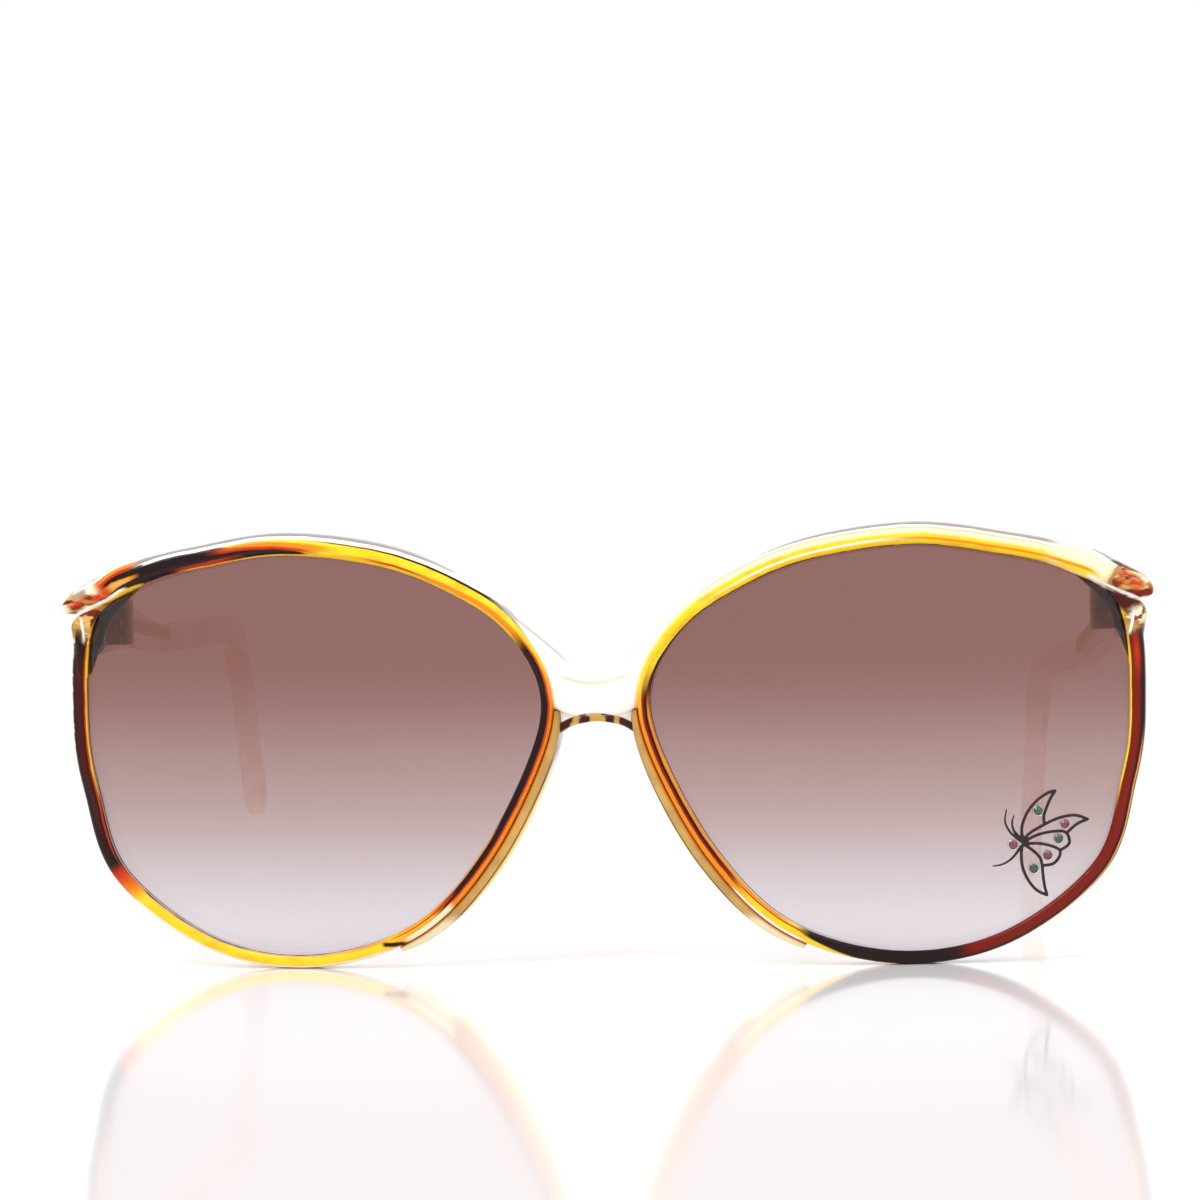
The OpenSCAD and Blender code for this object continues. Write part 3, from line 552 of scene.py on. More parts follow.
def tip_knots(outline):
    """Endpiece: a bullet tip that leaves the brow bar over the lens corner."""
    brow_h = outline.front.brow_h
    middle = outline.front.brow_lip + brow_h / 2
    return [
        outline.over_lens(3.4, middle, 0.3 * brow_h), outline.over_lens(2.7, 1.08 * middle, 0.47 * brow_h),
    ] + end_knots(outline, [
        (1, 0.43, 0.6), (0.64, 0.23, 0.69), (0.27, 0.06, 0.61),
        (0.09, -0.025, 0.41), (0.017, -0.057, 0.22), (0, -0.063, 0.055),
    ])


def bridge_knots(outline):
    """Bridge: from the brow bar over one lens down to its low middle and up again."""
    front, gap, z = outline.front, outline.lens.gap, outline.bridge_z
    high = front.bridge_h
    middle = front.brow_lip + front.brow_h / 2
    half = [
        outline.over_lens(6.6, 0.75 * middle, 0.26 * front.brow_h),
        (0.59 * gap, z + 1.51 * high, 0.23 * high),
        (0.43 * gap, z + 0.97 * high, 0.34 * high),
        (0.25 * gap, z + 0.2 * high, 0.57 * high),
    ]
    return half + [(0, z, high / 2)] + [(-x, z, size) for x, z, size in reversed(half)]


def side_cap_part(outline):
    """Rounded cap of the side rim that points up below the endpiece."""
    depth = outline.front.rim_depth
    knots = end_knots(outline, [
        (0.29, -1.08, 0.37), (0.28, -0.68, 0.43), (0.245, -0.385, 0.47), (0.25, -0.24, 0.35),
        (0.26, -0.18, 0.15),
    ])
    turn = turns(24)
    rings = []
    for x, z, half in open_curve(knots, 6):
        full = min(half / (0.37 * outline.front.brow_h), 1)
        back = 0.48 * depth + 0.55 * depth * full * np.sin(turn)
        rings.append(outline.at_front(x + half * np.cos(turn), z, back))
    return ring_mesh(rings)


FOOT_SIDES = 16


def disc_points(centre, radius, thick, axis=1):
    """Two rings of points round an axis through the centre, thick apart."""
    turn = turns(FOOT_SIDES)
    ring = np.zeros((FOOT_SIDES, 3))
    ring[:, (axis + 1) % 3] = radius * np.cos(turn)
    ring[:, (axis + 2) % 3] = radius * np.sin(turn)
    rise = np.zeros(3)
    rise[axis] = thick
    return np.concatenate([ring, ring + rise]) + centre


# Round feet of the web, as shares of the endpiece's free tip: in from its end, up, radius and thickness
WEB_FEET = [(0.35, -0.5, 0.142, 0.352), (0.34, 0.045, 0.136, 0.364), (0.68, -0.045, 0.114, 0.364)]
WEB_INSET = 0.36


def web_part(outline):
    """Web that ties the endpiece's tip to the rim, a share of the rim's depth behind its face."""
    run, depth = outline.front.end_run, WEB_INSET * outline.front.rim_depth
    return hull_mesh(np.concatenate([
        disc_points(outline.at_front(*end_place(outline, inward, up), depth), radius * run, thick * run)
        for inward, up, radius, thick in WEB_FEET
    ]))


# Angles round the lens between which the endpiece's back wall shows, its widest and least reach behind the
# lens, and how far out it is rooted in the rim
CRESCENT = (18, 43)
CRESCENT_W, CRESCENT_LEAST, CRESCENT_ROOT = 1.6, 0.05, 0.9


def crescent_part(outline):
    """Wall that tapers to both ends and leans in behind the lens edge."""
    turn = np.degrees(outline.angles())
    rings = []
    for i in np.flatnonzero((turn > CRESCENT[0]) & (turn < CRESCENT[1])):
        share = (turn[i] - CRESCENT[0]) / (CRESCENT[1] - CRESCENT[0])
        reach = CRESCENT_W * math.sin(math.pi * share) ** 0.8 + CRESCENT_LEAST
        depth = np.array([0.84, 0.95, 1.15, 1.2, 0.9]) * outline.front.rim_depth
        out = np.array([-0.3 * reach, -reach, -0.9 * reach, CRESCENT_ROOT, CRESCENT_ROOT])
        rings.append(outline.ring_points(i, out, depth))
    return ring_mesh(rings)


def lens_room_part(outline):
    """Room in front of the lens's back face, kept free of the endpiece and the bridge."""
    inset = 0.03
    points = outline.points - inset * outline.normals + outline.middle
    depths = (-2 * outline.front.brow_proud, outline.lens.seat + outline.lens.thickness + 4 * inset)
    return ring_mesh([outline.at_front(points[:, 0], points[:, 1], depth) for depth in depths])


def box_points(low, high):
    """Corners of a box."""
    return np.array(list(product(*zip(low, high))))


def hinge_block_part(outline, temple, side):
    """Block behind the endpiece that carries the hinge's front leaf."""
    half, inner, outer = temple.root_h / 2, temple.inner, temple.inner + temple.thickness
    corner, step, cut_in, low_cut, edge = 1.0, 0.8, 0.9, 1.7, 0.6
    reach = outline.front.end_depth - 1.2
    face, rear = -1.5, -temple.face_gap / 2
    posts = [
        (inner + corner, -reach, low_cut - half, half - cut_in),
        (outer - corner, -reach, cut_in - half, half - cut_in),
        (inner + corner, -reach + step, low_cut - half, half - 0.2),
        (outer - corner, -reach + step, 0.2 - half, half - 0.2),
    ]
    points = [disc_points((x, y, low), corner, high - low, axis=2) for x, y, low, high in posts]
    points.append(box_points((inner, face, edge - half), (outer, rear, half - edge)))
    points.append(box_points((inner + edge, face, -half), (outer - edge, rear, half)))
    return hull_mesh(at_hinge(np.concatenate(points), side))


def arch_part(outline):
    """Arch under the bridge, deeper than the bridge itself."""
    front, gap = outline.front, outline.lens.gap
    under = outline.bridge_z - front.bridge_h / 2
    rise, end_swell = 0.55, 0.8
    half = [(0.13, 0.034), (0.26, 0.068), (0.385, 0.145)]
    shares = [(-across, drop) for across, drop in reversed(half)] + [(0, 0.02)] + half
    line = open_curve([(across * gap, under + rise - drop * gap) for across, drop in shares], 8)
    radius, inset = 0.85 * front.arch_h, 0.38 * front.rim_depth
    across = closed_curve([
        (-1, 0.12), (-0.55, 0), (0.55, 0), (1, 0.12), (1, 0.88), (0.55, 1), (-0.55, 1), (-1, 0.88)], 3)
    along = np.gradient(line, axis=0)
    normals = unit(np.stack([-along[:, 1], along[:, 0]], axis=1))
    rings = []
    for point, normal in zip(line, normals):
        swell = end_swell * radius * (point[0] / line[-1][0]) ** 2
        offset = across[:, 0] * (radius + swell) + swell
        rings.append(outline.across(point, normal, offset, inset + across[:, 1] * (front.arch_depth - inset)))
    return ring_mesh(rings)


def leaf_box(temple, reach_back, height, way):
    """Seat of a hinge leaf, open on the arm's inner side."""
    ends = (-1, reach_back + temple.leaf_gap) if way > 0 else (-reach_back - temple.leaf_gap, 1)
    reach = temple.inner + temple.leaf_t + temple.leaf_gap
    half = height / 2 + temple.leaf_gap
    return box_points((temple.inner - 1, ends[0], -half), (reach, ends[1], half))


def knuckle_room(temple):
    """Room in the front for the knuckles that stand off its leaf."""
    radius = temple.barrel_r
    around = (temple.inner - radius) / 2
    reach = radius + temple.leaf_t + temple.leaf_gap
    half = temple.front_leaf_h / 2 + around
    return box_points((-radius - around, -reach, -half), (temple.inner, radius - temple.leaf_gap, half))


def nearest_on(line, vertices):
    """For each vertex, mirrored to the left: index of the nearest point of a line, and the way from it."""
    tree = KDTree(len(line))
    for i, (x, z) in enumerate(line):
        tree.insert((x, z, 0), i)
    tree.balance()
    for x, _, z in vertices:
        near, index, _ = tree.find((abs(x), z, 0))
        yield index, np.array([abs(x) - near[0], z - near[1]])


def rim_measures(outline, vertices):
    """For each vertex: millimetres out from the lens edge and back from the front surface."""
    edge = outline.points + outline.middle
    out = [offset @ outline.normals[i] for i, offset in nearest_on(edge, vertices)]
    depth = vertices[:, 1] - outline.front_y - outline.bow(vertices[:, 0], vertices[:, 2])
    return np.array(out), depth


def tip_measures(outline, vertices):
    """For each vertex: millimetres along the endpiece from its end, and up from its middle line."""
    line = open_curve(tip_knots(outline), 12)[::-1, :2]
    way = unit(np.gradient(line, axis=0))
    places = np.concatenate([[0], np.cumsum(np.linalg.norm(np.diff(line, axis=0), axis=1))])
    return np.array([
        (places[i] + offset @ way[i], offset @ (way[i][1], -way[i][0]))
        for i, offset in nearest_on(line, vertices)
    ]).T


def store(piece, name, values):
    """Keeps a measure of each vertex for the materials."""
    attribute = piece.data.attributes.new(name, "FLOAT", "POINT")
    attribute.data.foreach_set("value", np.asarray(values, np.float32))


class SUNGLASSES_OT_front(bpy.types.Operator):
    """Build the one-piece front: rims, brow, bridge, arch and endpieces"""

    bl_idname = "sunglasses.front"
    bl_label = "Front Frame"

    def execute(self, context):
        outline = Outline(context.scene)
        temple = values_of(context.scene.sunglasses_temple)
        parts = [bar_part(outline, bridge_knots(outline), 8), arch_part(outline)]
        for side in SIDES:
            half = [
                rim_part(outline), bar_part(outline, tip_knots(outline), 8), side_cap_part(outline),
                web_part(outline), crescent_part(outline),
            ]
            parts += [on_side(part, side) for part in half]
            parts.append(hinge_block_part(outline, temple, side))
        piece = new_piece("front_moulding", join_meshes(parts))
        blended(piece, outline.front.voxel, MOULD_ROUNDS)
        seat = leaf_box(temple, temple.front_leaf_len, temple.front_leaf_h, -1)
        for side in SIDES:
            for part in (pad_part(outline, outline.front.pad_gap), lens_room_part(outline)):
                cut(piece, new_piece("room", on_side(part, side)))
            for box in (seat, knuckle_room(temple)):
                cut(piece, new_piece("leaf_room", hull_mesh(at_hinge(box, side))))
        vertices = places_of(piece)
        measures = (*rim_measures(outline, vertices), *tip_measures(outline, vertices))
        for name, values in zip(("out", "depth", "along", "aside"), measures):
            store(piece, name, values)
        finish_piece(piece, "front", "tortoise", shell_material(context.scene, outline, RIGHT), "front_frame")
        piece.data.materials.append(shell_material(context.scene, outline, LEFT))
        for polygon in piece.data.polygons:
            polygon.material_index = int(polygon.center.x > 0)
        return {"FINISHED"}


# Lenses and pads

def lens_part(outline):
    """Domed disc with a bevelled edge."""
    lens = outline.lens
    edge_in = -0.06
    shares = np.sin(np.linspace(0.01, 1, 22) * math.pi / 2)
    back = lens.seat + lens.thickness

    def ring(share, out, depth, dome):
        points = outline.points * share + outline.normals * out * share + outline.middle
        return outline.at_front(points[:, 0], points[:, 1], depth - dome * (1 - share**2))

    rings = [ring(share, edge_in, lens.seat, lens.dome) for share in shares]
    rings.append(ring(1, lens.bevel, lens.seat + lens.thickness / 2, 0))
    rings += [ring(share, edge_in, back, lens.dome) for share in reversed(shares)]
    return ring_mesh(rings)


class SUNGLASSES_OT_lenses(bpy.types.Operator):
    """Build the two domed lenses with their gradient tint"""

    bl_idname = "sunglasses.lenses"
    bl_label = "Lenses"

    def execute(self, context):
        outline = Outline(context.scene)
        material = lens_material(context.scene, outline)
        for side, word in SIDES.items():
            piece = new_piece("lens_tinted_" + word, on_side(lens_part(outline), side), sharp=35)
            finish_piece(piece, "front", "lens_tint", material, "lens_" + word)
        return {"FINISHED"}


# Places on the outline, counted in its points, between which a pad runs
PAD_FROM, PAD_TO = 8.4, 11.2


def pad_section(front, width, full, grow):
    """[out from the lens edge, back from the front surface] round a pad; grow widens it for its room."""
    depth = front.rim_depth
    inner = width + front.pad_gap - grow / 2
    thick = front.pad_t * (0.35 + 0.65 * full) + 1.5 * grow
    over = 1.08 * depth
    back = over + (front.pad_depth - over) * full
    return [
        (inner, 0.24 * depth - grow),
        (inner + 0.6 * thick, 0.18 * depth - grow),
        (inner + thick, 0.31 * depth - grow),
        (inner + (1 + 0.07 * full) * thick, depth),
        (inner + (1 - 0.13 * full) * thick, back - 0.4 * thick + grow),
        (inner + 0.4 * thick, back + grow),
        (inner - 0.53 * full * thick, back - 0.2 * thick + grow),
        (inner - 0.8 * full * thick, back - 0.73 * thick),
        (inner - 0.6 * full * thick, 1.04 * depth - grow),
        (inner, 1.02 * depth - grow),
    ]


def pad_part(outline, grow=0.0):
    """Crescent along the nose side of the rim that swells back towards the nose."""
    first, last = round(PAD_FROM * OUTLINE_STEPS), round(PAD_TO * OUTLINE_STEPS)
    rings = []
    for i in range(first, last + 1):
        share = (i - first + 0.5) / (last - first + 1)
        full = math.sqrt(math.sin(math.pi * share))
        section = closed_curve(pad_section(outline.front, outline.widths[i], full, grow), 4)
        rings.append(outline.ring_points(i, section[:, 0], section[:, 1]))
    return ring_mesh(rings)


class SUNGLASSES_OT_pads(bpy.types.Operator):
    """Build the two bonded nose pads"""

    bl_idname = "sunglasses.pads"
    bl_label = "Nose Pads"

    def execute(self, context):
        outline = Outline(context.scene)
        material = pad_material(context.scene, outline)
        for side, word in SIDES.items():
            piece = new_piece("pad_moulded_" + word, on_side(pad_part(outline), side), sharp=50)
            out, _ = rim_measures(outline, places_of(piece))
            store(piece, "out", out)
            finish_piece(piece, "front", "pad_tan", material, "nose_pad_" + word)
        return {"FINISHED"}


# Temples

TEMPLE_SECTION = [
    (0, -0.40), (0, 0.40), (0.10, 0.47), (0.35, 0.5), (0.65, 0.5), (0.88, 0.42),
    (1, 0.24), (1, -0.24), (0.88, -0.42), (0.65, -0.5), (0.35, -0.5), (0.10, -0.47),
]


def temple_stations(temple):
    """(place along, place up, turn down, height) along the arm's centre line."""
    stations = []
    for y in np.concatenate([np.arange(0, temple.dip_run, 1), np.arange(temple.dip_run, temple.arm_len, 4)]):
        swell = (temple.root_h - temple.mid_h) * max(1 - y / temple.dip_run, 0) ** 2
        stations.append((y, -temple.dip * ease(0, temple.dip_run, y), 0, temple.mid_h + swell))
    bend, radius = temple.bend_angle, temple.bend_r
    for turn in np.linspace(0, bend, 24):
        up = -temple.dip - radius * (1 - math.cos(turn))
        stations.append((temple.arm_len + radius * math.sin(turn), up, turn, temple.mid_h))
    start = np.array(stations[-1][:2])
    way = np.array([math.cos(bend), -math.sin(bend)])
    for share in np.linspace(0, 1, 12)[1:]:
        point = start + way * temple.drop_len * share
        stations.append((*point, bend, temple.mid_h + (temple.tip_h - temple.mid_h) * share))
    centre, radius = start + way * temple.drop_len, temple.tip_h / 2
    for turn in np.radians(np.linspace(8, 87, 11)):
        stations.append((*(centre + way * radius * math.sin(turn)), bend, temple.tip_h * math.cos(turn)))
    return stations


def temple_part(temple, side):
    """Arm with its bend and drop end, which narrows towards the tip's end."""
    section = closed_curve(TEMPLE_SECTION, 3)
    rings = []
    for k, (along, up, turn, height) in enumerate(temple_stations(temple)):
        narrow = 1 if turn < temple.bend_angle else min(1, 0.45 + 0.45 * height / temple.mid_h)
        thick = temple.thickness * narrow
        start = temple.face_gap / 2 if k == 0 else 0
        rings.append(np.stack([
            temple.inner + temple.thickness / 2 + (section[:, 0] - 0.5) * thick,
            along + section[:, 1] * height * math.sin(turn) + start,
            up + section[:, 1] * height * math.cos(turn),
        ], axis=1))
    vertices, faces = ring_mesh(rings)
    return at_hinge(vertices, side, fold_of(temple, side)), faces


def fold_of(temple, side):
    """How far a temple stands folded in at rest."""
    return temple.left_fold if side == LEFT else -temple.right_splay


def tang_box(temple):
    """Slot of the tang, open on the arm's inner side, which runs down with the arm from the leaf's end."""
    drop = -math.atan2(temple.dip, temple.leaf_len + temple.tang_len)
    gap, overlap = temple.leaf_gap, 1
    half = temple.tang_h / 2 + gap
    points = box_points((-1, 0, -half), (temple.leaf_t + gap, temple.tang_len + overlap + gap, half))
    turned = points @ np.array(Matrix.Rotation(drop, 3, "X")).T
    return turned + (temple.inner, temple.leaf_len - overlap, 0)


class SUNGLASSES_OT_temples(bpy.types.Operator):
    """Build the two near-clear temples with the seats of their hinge leaves"""

    bl_idname = "sunglasses.temples"
    bl_label = "Temples"

    def execute(self, context):
        temple = values_of(context.scene.sunglasses_temple)
        for side, word in SIDES.items():
            piece = new_piece("arm_moulded_" + word, temple_part(temple, side))
            fold = fold_of(temple, side)
            seat = leaf_box(temple, temple.leaf_len, temple.leaf_h, 1)
            for box in (seat, tang_box(temple)):
                cut(piece, new_piece("seat", hull_mesh(at_hinge(box, side, fold))))
            material = arm_material(context.scene, side)
            finish_piece(piece, word + "_arm", "clear_arm", material, "temple_" + word)
        return {"FINISHED"}


# Butterfly: strokes in millimetres from the body's middle, drawn for a width of BUTTERFLY_DRAWN

BUTTERFLY_DRAWN = 12.7
# Its body's middle, as shares of the lens's half width and half height
BUTTERFLY_AT = (0.552, -0.484)
# Grain in millimetres at which the wires melt together, and rounds of smoothing
WIRE_GRAIN, WIRE_ROUNDS = 0.06, 3
WINGS = [
    [(0, 0.3), (-0.16, 1.6), (0.27, 3.1), (1.07, 4.5), (2.15, 5.6), (3.33, 6.35), (4.38, 6.66)],
    [(4.38, 6.66), (3.75, 5.7), (3.2, 4.5), (2.8, 3.3), (2.85, 2.15)],
    [(0, 0.2), (1.07, 1.18), (2.85, 2.15), (4.1, 2.75), (5.5, 3.17), (7.1, 3.25), (8.61, 2.69)],
    [(8.61, 2.69), (7.2, 2.15), (5.91, 1.07)],
    [(0.2, 0), (1.93, 0.8), (4.0, 1.2), (5.6, 1.05), (6.12, -0.1), (5.8, -0.8), (4.89, -1.34)],
    [(0.4, -0.35), (2.15, -0.36), (3.87, -0.8), (4.89, -1.34)],
    [(4.89, -1.34), (4.75, -2.2), (3.9, -3.15), (2.45, -3.35)],
    [(0.2, -0.5), (1.29, -1.3), (2.2, -2.3), (2.45, -3.35)],
    [(-0.1, -0.5), (-0.27, -1.9), (-0.1, -3.6), (0.55, -5.2), (1.6, -6.6), (3.02, -7.4)],
    [(3.02, -7.4), (2.65, -5.7), (2.45, -3.35)],
]
FEELERS = [
    [(-0.3, 0.3), (-1.5, 1.07), (-2.3, 2.6), (-2.09, 4.35)],
    [(-0.3, 0.4), (-1.2, 1.5), (-1.38, 2.6), (-1.13, 3.5)],
    [(-0.2, -0.6), (-1.4, -2.15), (-2.7, -3.0), (-4.08, -3.24)],
]
BODY = [(-1.0, 0.75), (-0.1, 0.05), (0.7, -0.4)]
STONES = {
    "head": (-1.34, -0.38), "upper_wing": (2.0, 4.08), "second_wing": (5.5, 2.2),
    "middle_lobe": (4.62, 0.27), "lower_lobe": (3.17, -1.93), "lower_wing": (1.29, -3.65),
}


class LensSkin:
    """Front surface of the wearer's-left lens, where the butterfly is bonded."""

    def __init__(self, outline, butterfly):
        self.outline, self.butterfly = outline, butterfly
        angles = outline.angles()
        order = np.argsort(angles)
        self.angles = angles[order]
        self.reach = np.linalg.norm(outline.points, axis=1)[order]

    def place(self, point):
        """Place in the whole's x and z of a point in the drawing."""
        outline, scale = self.outline, self.butterfly.width / BUTTERFLY_DRAWN
        half = np.array([outline.lens.width / 2, outline.lens.height / 2])
        return outline.middle + half * BUTTERFLY_AT + np.asarray(point) * scale

    def depth(self, x, z):
        """Y of the lens's front surface."""
        outline = self.outline
        across, up = x - outline.lens_x, z - outline.lens_z
        reach = np.interp(math.atan2(up, across), self.angles, self.reach, period=2 * math.pi)
        share = math.hypot(across, up) / reach
        return outline.front_y + outline.bow(x, z) + outline.lens.seat - outline.lens.dome * (1 - share**2)

    def frame(self, point):
        """Place on the skin and the directions right, up and out of it."""
        x, z = self.place(point)
        step = 0.5
        right = Vector((2 * step, self.depth(x + step, z) - self.depth(x - step, z), 0)).normalized()
        up = Vector((0, self.depth(x, z + step) - self.depth(x, z - step), 2 * step)).normalized()
        out = right.cross(up).normalized()
        base = Vector((x, self.depth(x, z), z)) + out * self.butterfly.bond_gap
        return np.array(base), np.array(right), np.array(out.cross(right)), np.array(out)


def wire_part(skin, points, width, taper=0.0):
    """Rounded wire along points, lying on the lens, with domed ends."""
    height = skin.butterfly.wire_t
    frames = [skin.frame(point) for point in open_curve(points, 10)]
    centres = np.array([base + out * height / 2 for base, _, _, out in frames])
    along = unit(np.gradient(centres, axis=0))
    turn = turns(12)
    last = len(frames) - 1
    dome, dome_reach, least = (0.0, 0.35, 0.75), 0.4, 0.15

    def ring(k, size=1.0, end=0):
        """Ring round the wire at one step; at an end the rings shrink and move outwards."""
        way, out = along[k], frames[k][3]
        share = 1 - taper * k / last
        offset = way * end * (1 - size) * width * dome_reach * share
        across, up = np.outer(np.cos(turn), np.cross(way, out)), np.outer(np.sin(turn), out)
        return centres[k] + offset + (across * width / 2 + up * height / 2) * share * max(size, least)

    rings = [ring(0, size, -1) for size in dome] + [ring(k) for k in range(1, last)]
    return ring_mesh(rings + [ring(last, size, 1) for size in reversed(dome)])


class SUNGLASSES_OT_butterfly(bpy.types.Operator):
    """Build the butterfly's soldered wire outline"""

    bl_idname = "sunglasses.butterfly"
    bl_label = "Butterfly Wire"

    def execute(self, context):
        butterfly = values_of(context.scene.sunglasses_butterfly)
        skin = LensSkin(Outline(context.scene), butterfly)
        parts = [wire_part(skin, stroke, butterfly.wire_w) for stroke in WINGS]
        parts += [wire_part(skin, stroke, butterfly.wire_w, 0.5) for stroke in FEELERS]
        parts.append(wire_part(skin, BODY, butterfly.wire_w * 1.6))
        piece = blended(new_piece("butterfly_wirework", join_meshes(parts)), WIRE_GRAIN, WIRE_ROUNDS)
        wire = metal_material("dark_wire", values_of(context.scene.sunglasses_colours).wire, 0.25, 0.2)
        finish_piece(piece, "front", "wire_dark", wire, "butterfly_wire")
        return {"FINISHED"}


def lathe_part(profile, sides):
    """Closed solid from a profile of (radius, height) turned about the upright axis."""
    circle = np.stack([np.cos(turns(sides)), np.sin(turns(sides))], axis=1)
    return ring_mesh([
        np.column_stack([circle * max(radius, 1e-3), np.full(sides, height)]) for radius, height in profile])


def on_skin(part, where):
    """Moves a part from its own axes to a place on the lens."""
    base, right, up, out = where
    vertices, faces = part
    return vertices @ np.array([right, up, out]) + base, faces


def stone_points(radius, girdle, sides=8):
    """Corners of a faceted stone: table, crown, girdle and a shallow pavilion."""
    points = []
    for count, share, height, shift in (
        (sides, 0.56, girdle + 0.36 * radius, 0), (sides, 0.82, girdle + 0.22 * radius, 0.5),
        (2 * sides, 1.0, girdle + 0.04 * radius, 0), (2 * sides, 1.0, girdle - 0.04 * radius, 0),
        (sides, 0.55, 0.1 * girdle, 0.5),
    ):
        for k in range(count):
            turn = 2 * math.pi * (k + shift) / count
            points.append((radius * share * math.cos(turn), radius * share * math.sin(turn), height))
    return np.array(points)


class SUNGLASSES_OT_stones(bpy.types.Operator):
    """Build the six rhinestones and their silver settings"""

    bl_idname = "sunglasses.stones"
    bl_label = "Rhinestones"

    def execute(self, context):
        butterfly = values_of(context.scene.sunglasses_butterfly)
        skin = LensSkin(Outline(context.scene), butterfly)
        radius, high = butterfly.stone_r, butterfly.setting_h
        outer, fit, floor, axis = radius + butterfly.setting_wall, 0.015, 0.12, 0.001
        profile = [
            (axis, 0), (outer - 0.05, 0), (outer, 0.05), (outer - 0.01, 0.5 * high),
            (outer + 0.02, high - 0.08), (outer - 0.02, high - 0.01), (outer - 0.07, high),
            (radius + fit, high - 0.04), (radius + fit, floor), (axis, floor),
        ]
        silver = metal_material("silver", srgb(232, 230, 226), 0.12, 0.12)
        red = stone_material(context.scene, "stone_red")
        green = stone_material(context.scene, "stone_green")
        for k, (name, place) in enumerate(STONES.items()):
            where = skin.frame(place)
            setting = new_piece("cup_" + name, on_skin(lathe_part(profile, 40), where), sharp=40)
            finish_piece(setting, "front", "setting_silver", silver, "setting_" + name)
            girdle = high - floor - butterfly.bond_gap
            vertices, faces = hull_mesh(stone_points(radius, girdle))
            vertices = vertices + (0, 0, floor + butterfly.bond_gap)
            stone = new_piece("rhinestone_" + name, on_skin((vertices, faces), where))
            stone.data.shade_flat()
            slot, material = ("stone_red", red) if k % 2 == 0 else ("stone_green", green)
            finish_piece(stone, "front", slot, material, "stone_" + name)
        return {"FINISHED"}


# Shader maths

class Tree:
    """Nodes of one material or world; node() is the one way a node is added."""

    def __init__(self, owner):
        owner.use_nodes = True
        self.owner = owner
        self.tree = owner.node_tree
        self.tree.nodes.clear()

    def node(self, kind, settings=None, **sockets):
        """Adds a node. Settings come first, then the sockets by name, with _ for a space."""
        node = self.tree.nodes.new(kind)
        for key, value in (settings or {}).items():
            setattr(node, key, value)
        for key, value in sockets.items():
            self.feed(node.inputs[key.replace("_", " ")], value)
        return node

    def feed(self, socket, value):
        if isinstance(value, Value):
            value = value.socket
        if isinstance(value, bpy.types.NodeSocket):
            self.tree.links.new(value, socket)
        elif hasattr(value, "__len__") and len(value) == 3 and len(socket.default_value) == 4:
            socket.default_value = (*value, 1)
        else:
            socket.default_value = value

    def value(self, kind, settings=None, output=0, **sockets):
        return Value(self, self.node(kind, settings, **sockets).outputs[output])

    def in_order(self, kind, settings, *values):
        """First output of a node whose sockets share a name, so that the values go in by their order."""
        node = self.node(kind, settings)
        for socket, value in zip(node.inputs, values):
            self.feed(socket, value)
        return node.outputs[0]

    def math(self, operation, *values, clamp=False):
        settings = {"operation": operation, "use_clamp": clamp}
        return Value(self, self.in_order("ShaderNodeMath", settings, *values))

    def mix(self, factor, first, second):
        """Colour mix."""
        node = self.node("ShaderNodeMix", {"data_type": "RGBA", "clamp_factor": True})
        for index, value in ((0, factor), (6, first), (7, second)):
            self.feed(node.inputs[index], value)
        return node.outputs[2]

    def mix_shaders(self, factor, first, second):
        return self.in_order("ShaderNodeMixShader", None, factor, first, second)

    def clear(self, **sockets):
        return self.node("ShaderNodeBsdfTransparent", **sockets).outputs[0]

    def facing(self, blend):
        """0 where the surface faces the eye, 1 where it turns away."""
        return self.value("ShaderNodeLayerWeight", output="Facing", Blend=blend)

    def attribute(self, name):
        return self.value("ShaderNodeAttribute", {"attribute_name": name}, "Fac")

    def place(self):
        """Object coordinates in millimetres, as x, y and z."""
        coordinates = self.node("ShaderNodeTexCoord").outputs["Object"]
        parts = self.node("ShaderNodeSeparateXYZ", Vector=coordinates)
        return [Value(self, parts.outputs[axis]) / MM for axis in "XYZ"]

    def noise(self, scale, detail=3.0, seed=0.0, stretch=(1, 1, 1)):
        """Noise from 0 to 1 in object space; scale is features in a metre."""
        coordinates = self.node("ShaderNodeTexCoord").outputs["Object"]
        mapping = self.node(
            "ShaderNodeMapping", Vector=coordinates, Scale=stretch, Location=(seed, seed, seed))
        return self.value(
            "ShaderNodeTexNoise", None, "Fac", Vector=mapping.outputs[0], Scale=scale, Detail=detail)

    def principled(self, **sockets):
        return self.node("ShaderNodeBsdfPrincipled", **sockets).outputs[0]

    def surface(self, shader):
        """Feeds the output and gives back the material or the world."""
        kind = "World" if isinstance(self.owner, bpy.types.World) else "Material"
        self.node("ShaderNodeOutput" + kind, Surface=shader)
        return self.owner


def operator(operation, reflected=False):
    """Method for a sign; reflected is for a number on the left of it."""
    def method(self, other):
        return self.tree.math(operation, *((other, self) if reflected else (self, other)))
    return method


class Value:
    """A shader socket that takes part in sums."""

    def __init__(self, tree, socket):
        self.tree, self.socket = tree, socket

    __add__, __radd__ = operator("ADD"), operator("ADD", True)
    __sub__, __rsub__ = operator("SUBTRACT"), operator("SUBTRACT", True)
    __mul__, __rmul__ = operator("MULTIPLY"), operator("MULTIPLY", True)
    __truediv__ = operator("DIVIDE")

    def __abs__(self):
        return self.tree.math("ABSOLUTE", self)

    def above(self, low, high):
        """Smooth step from 0 at low to 1 at high."""
        return self.tree.value(
            "ShaderNodeMapRange", {"interpolation_type": "SMOOTHSTEP"},
            Value=self, From_Min=low, From_Max=high)

    def band(self, low, high, soft):
        """1 between low and high, with soft edges."""
        return self.above(low - soft, low + soft) * (1 - self.above(high - soft, high + soft))


def new_tree(name):
    return Tree(bpy.data.materials.new(name))


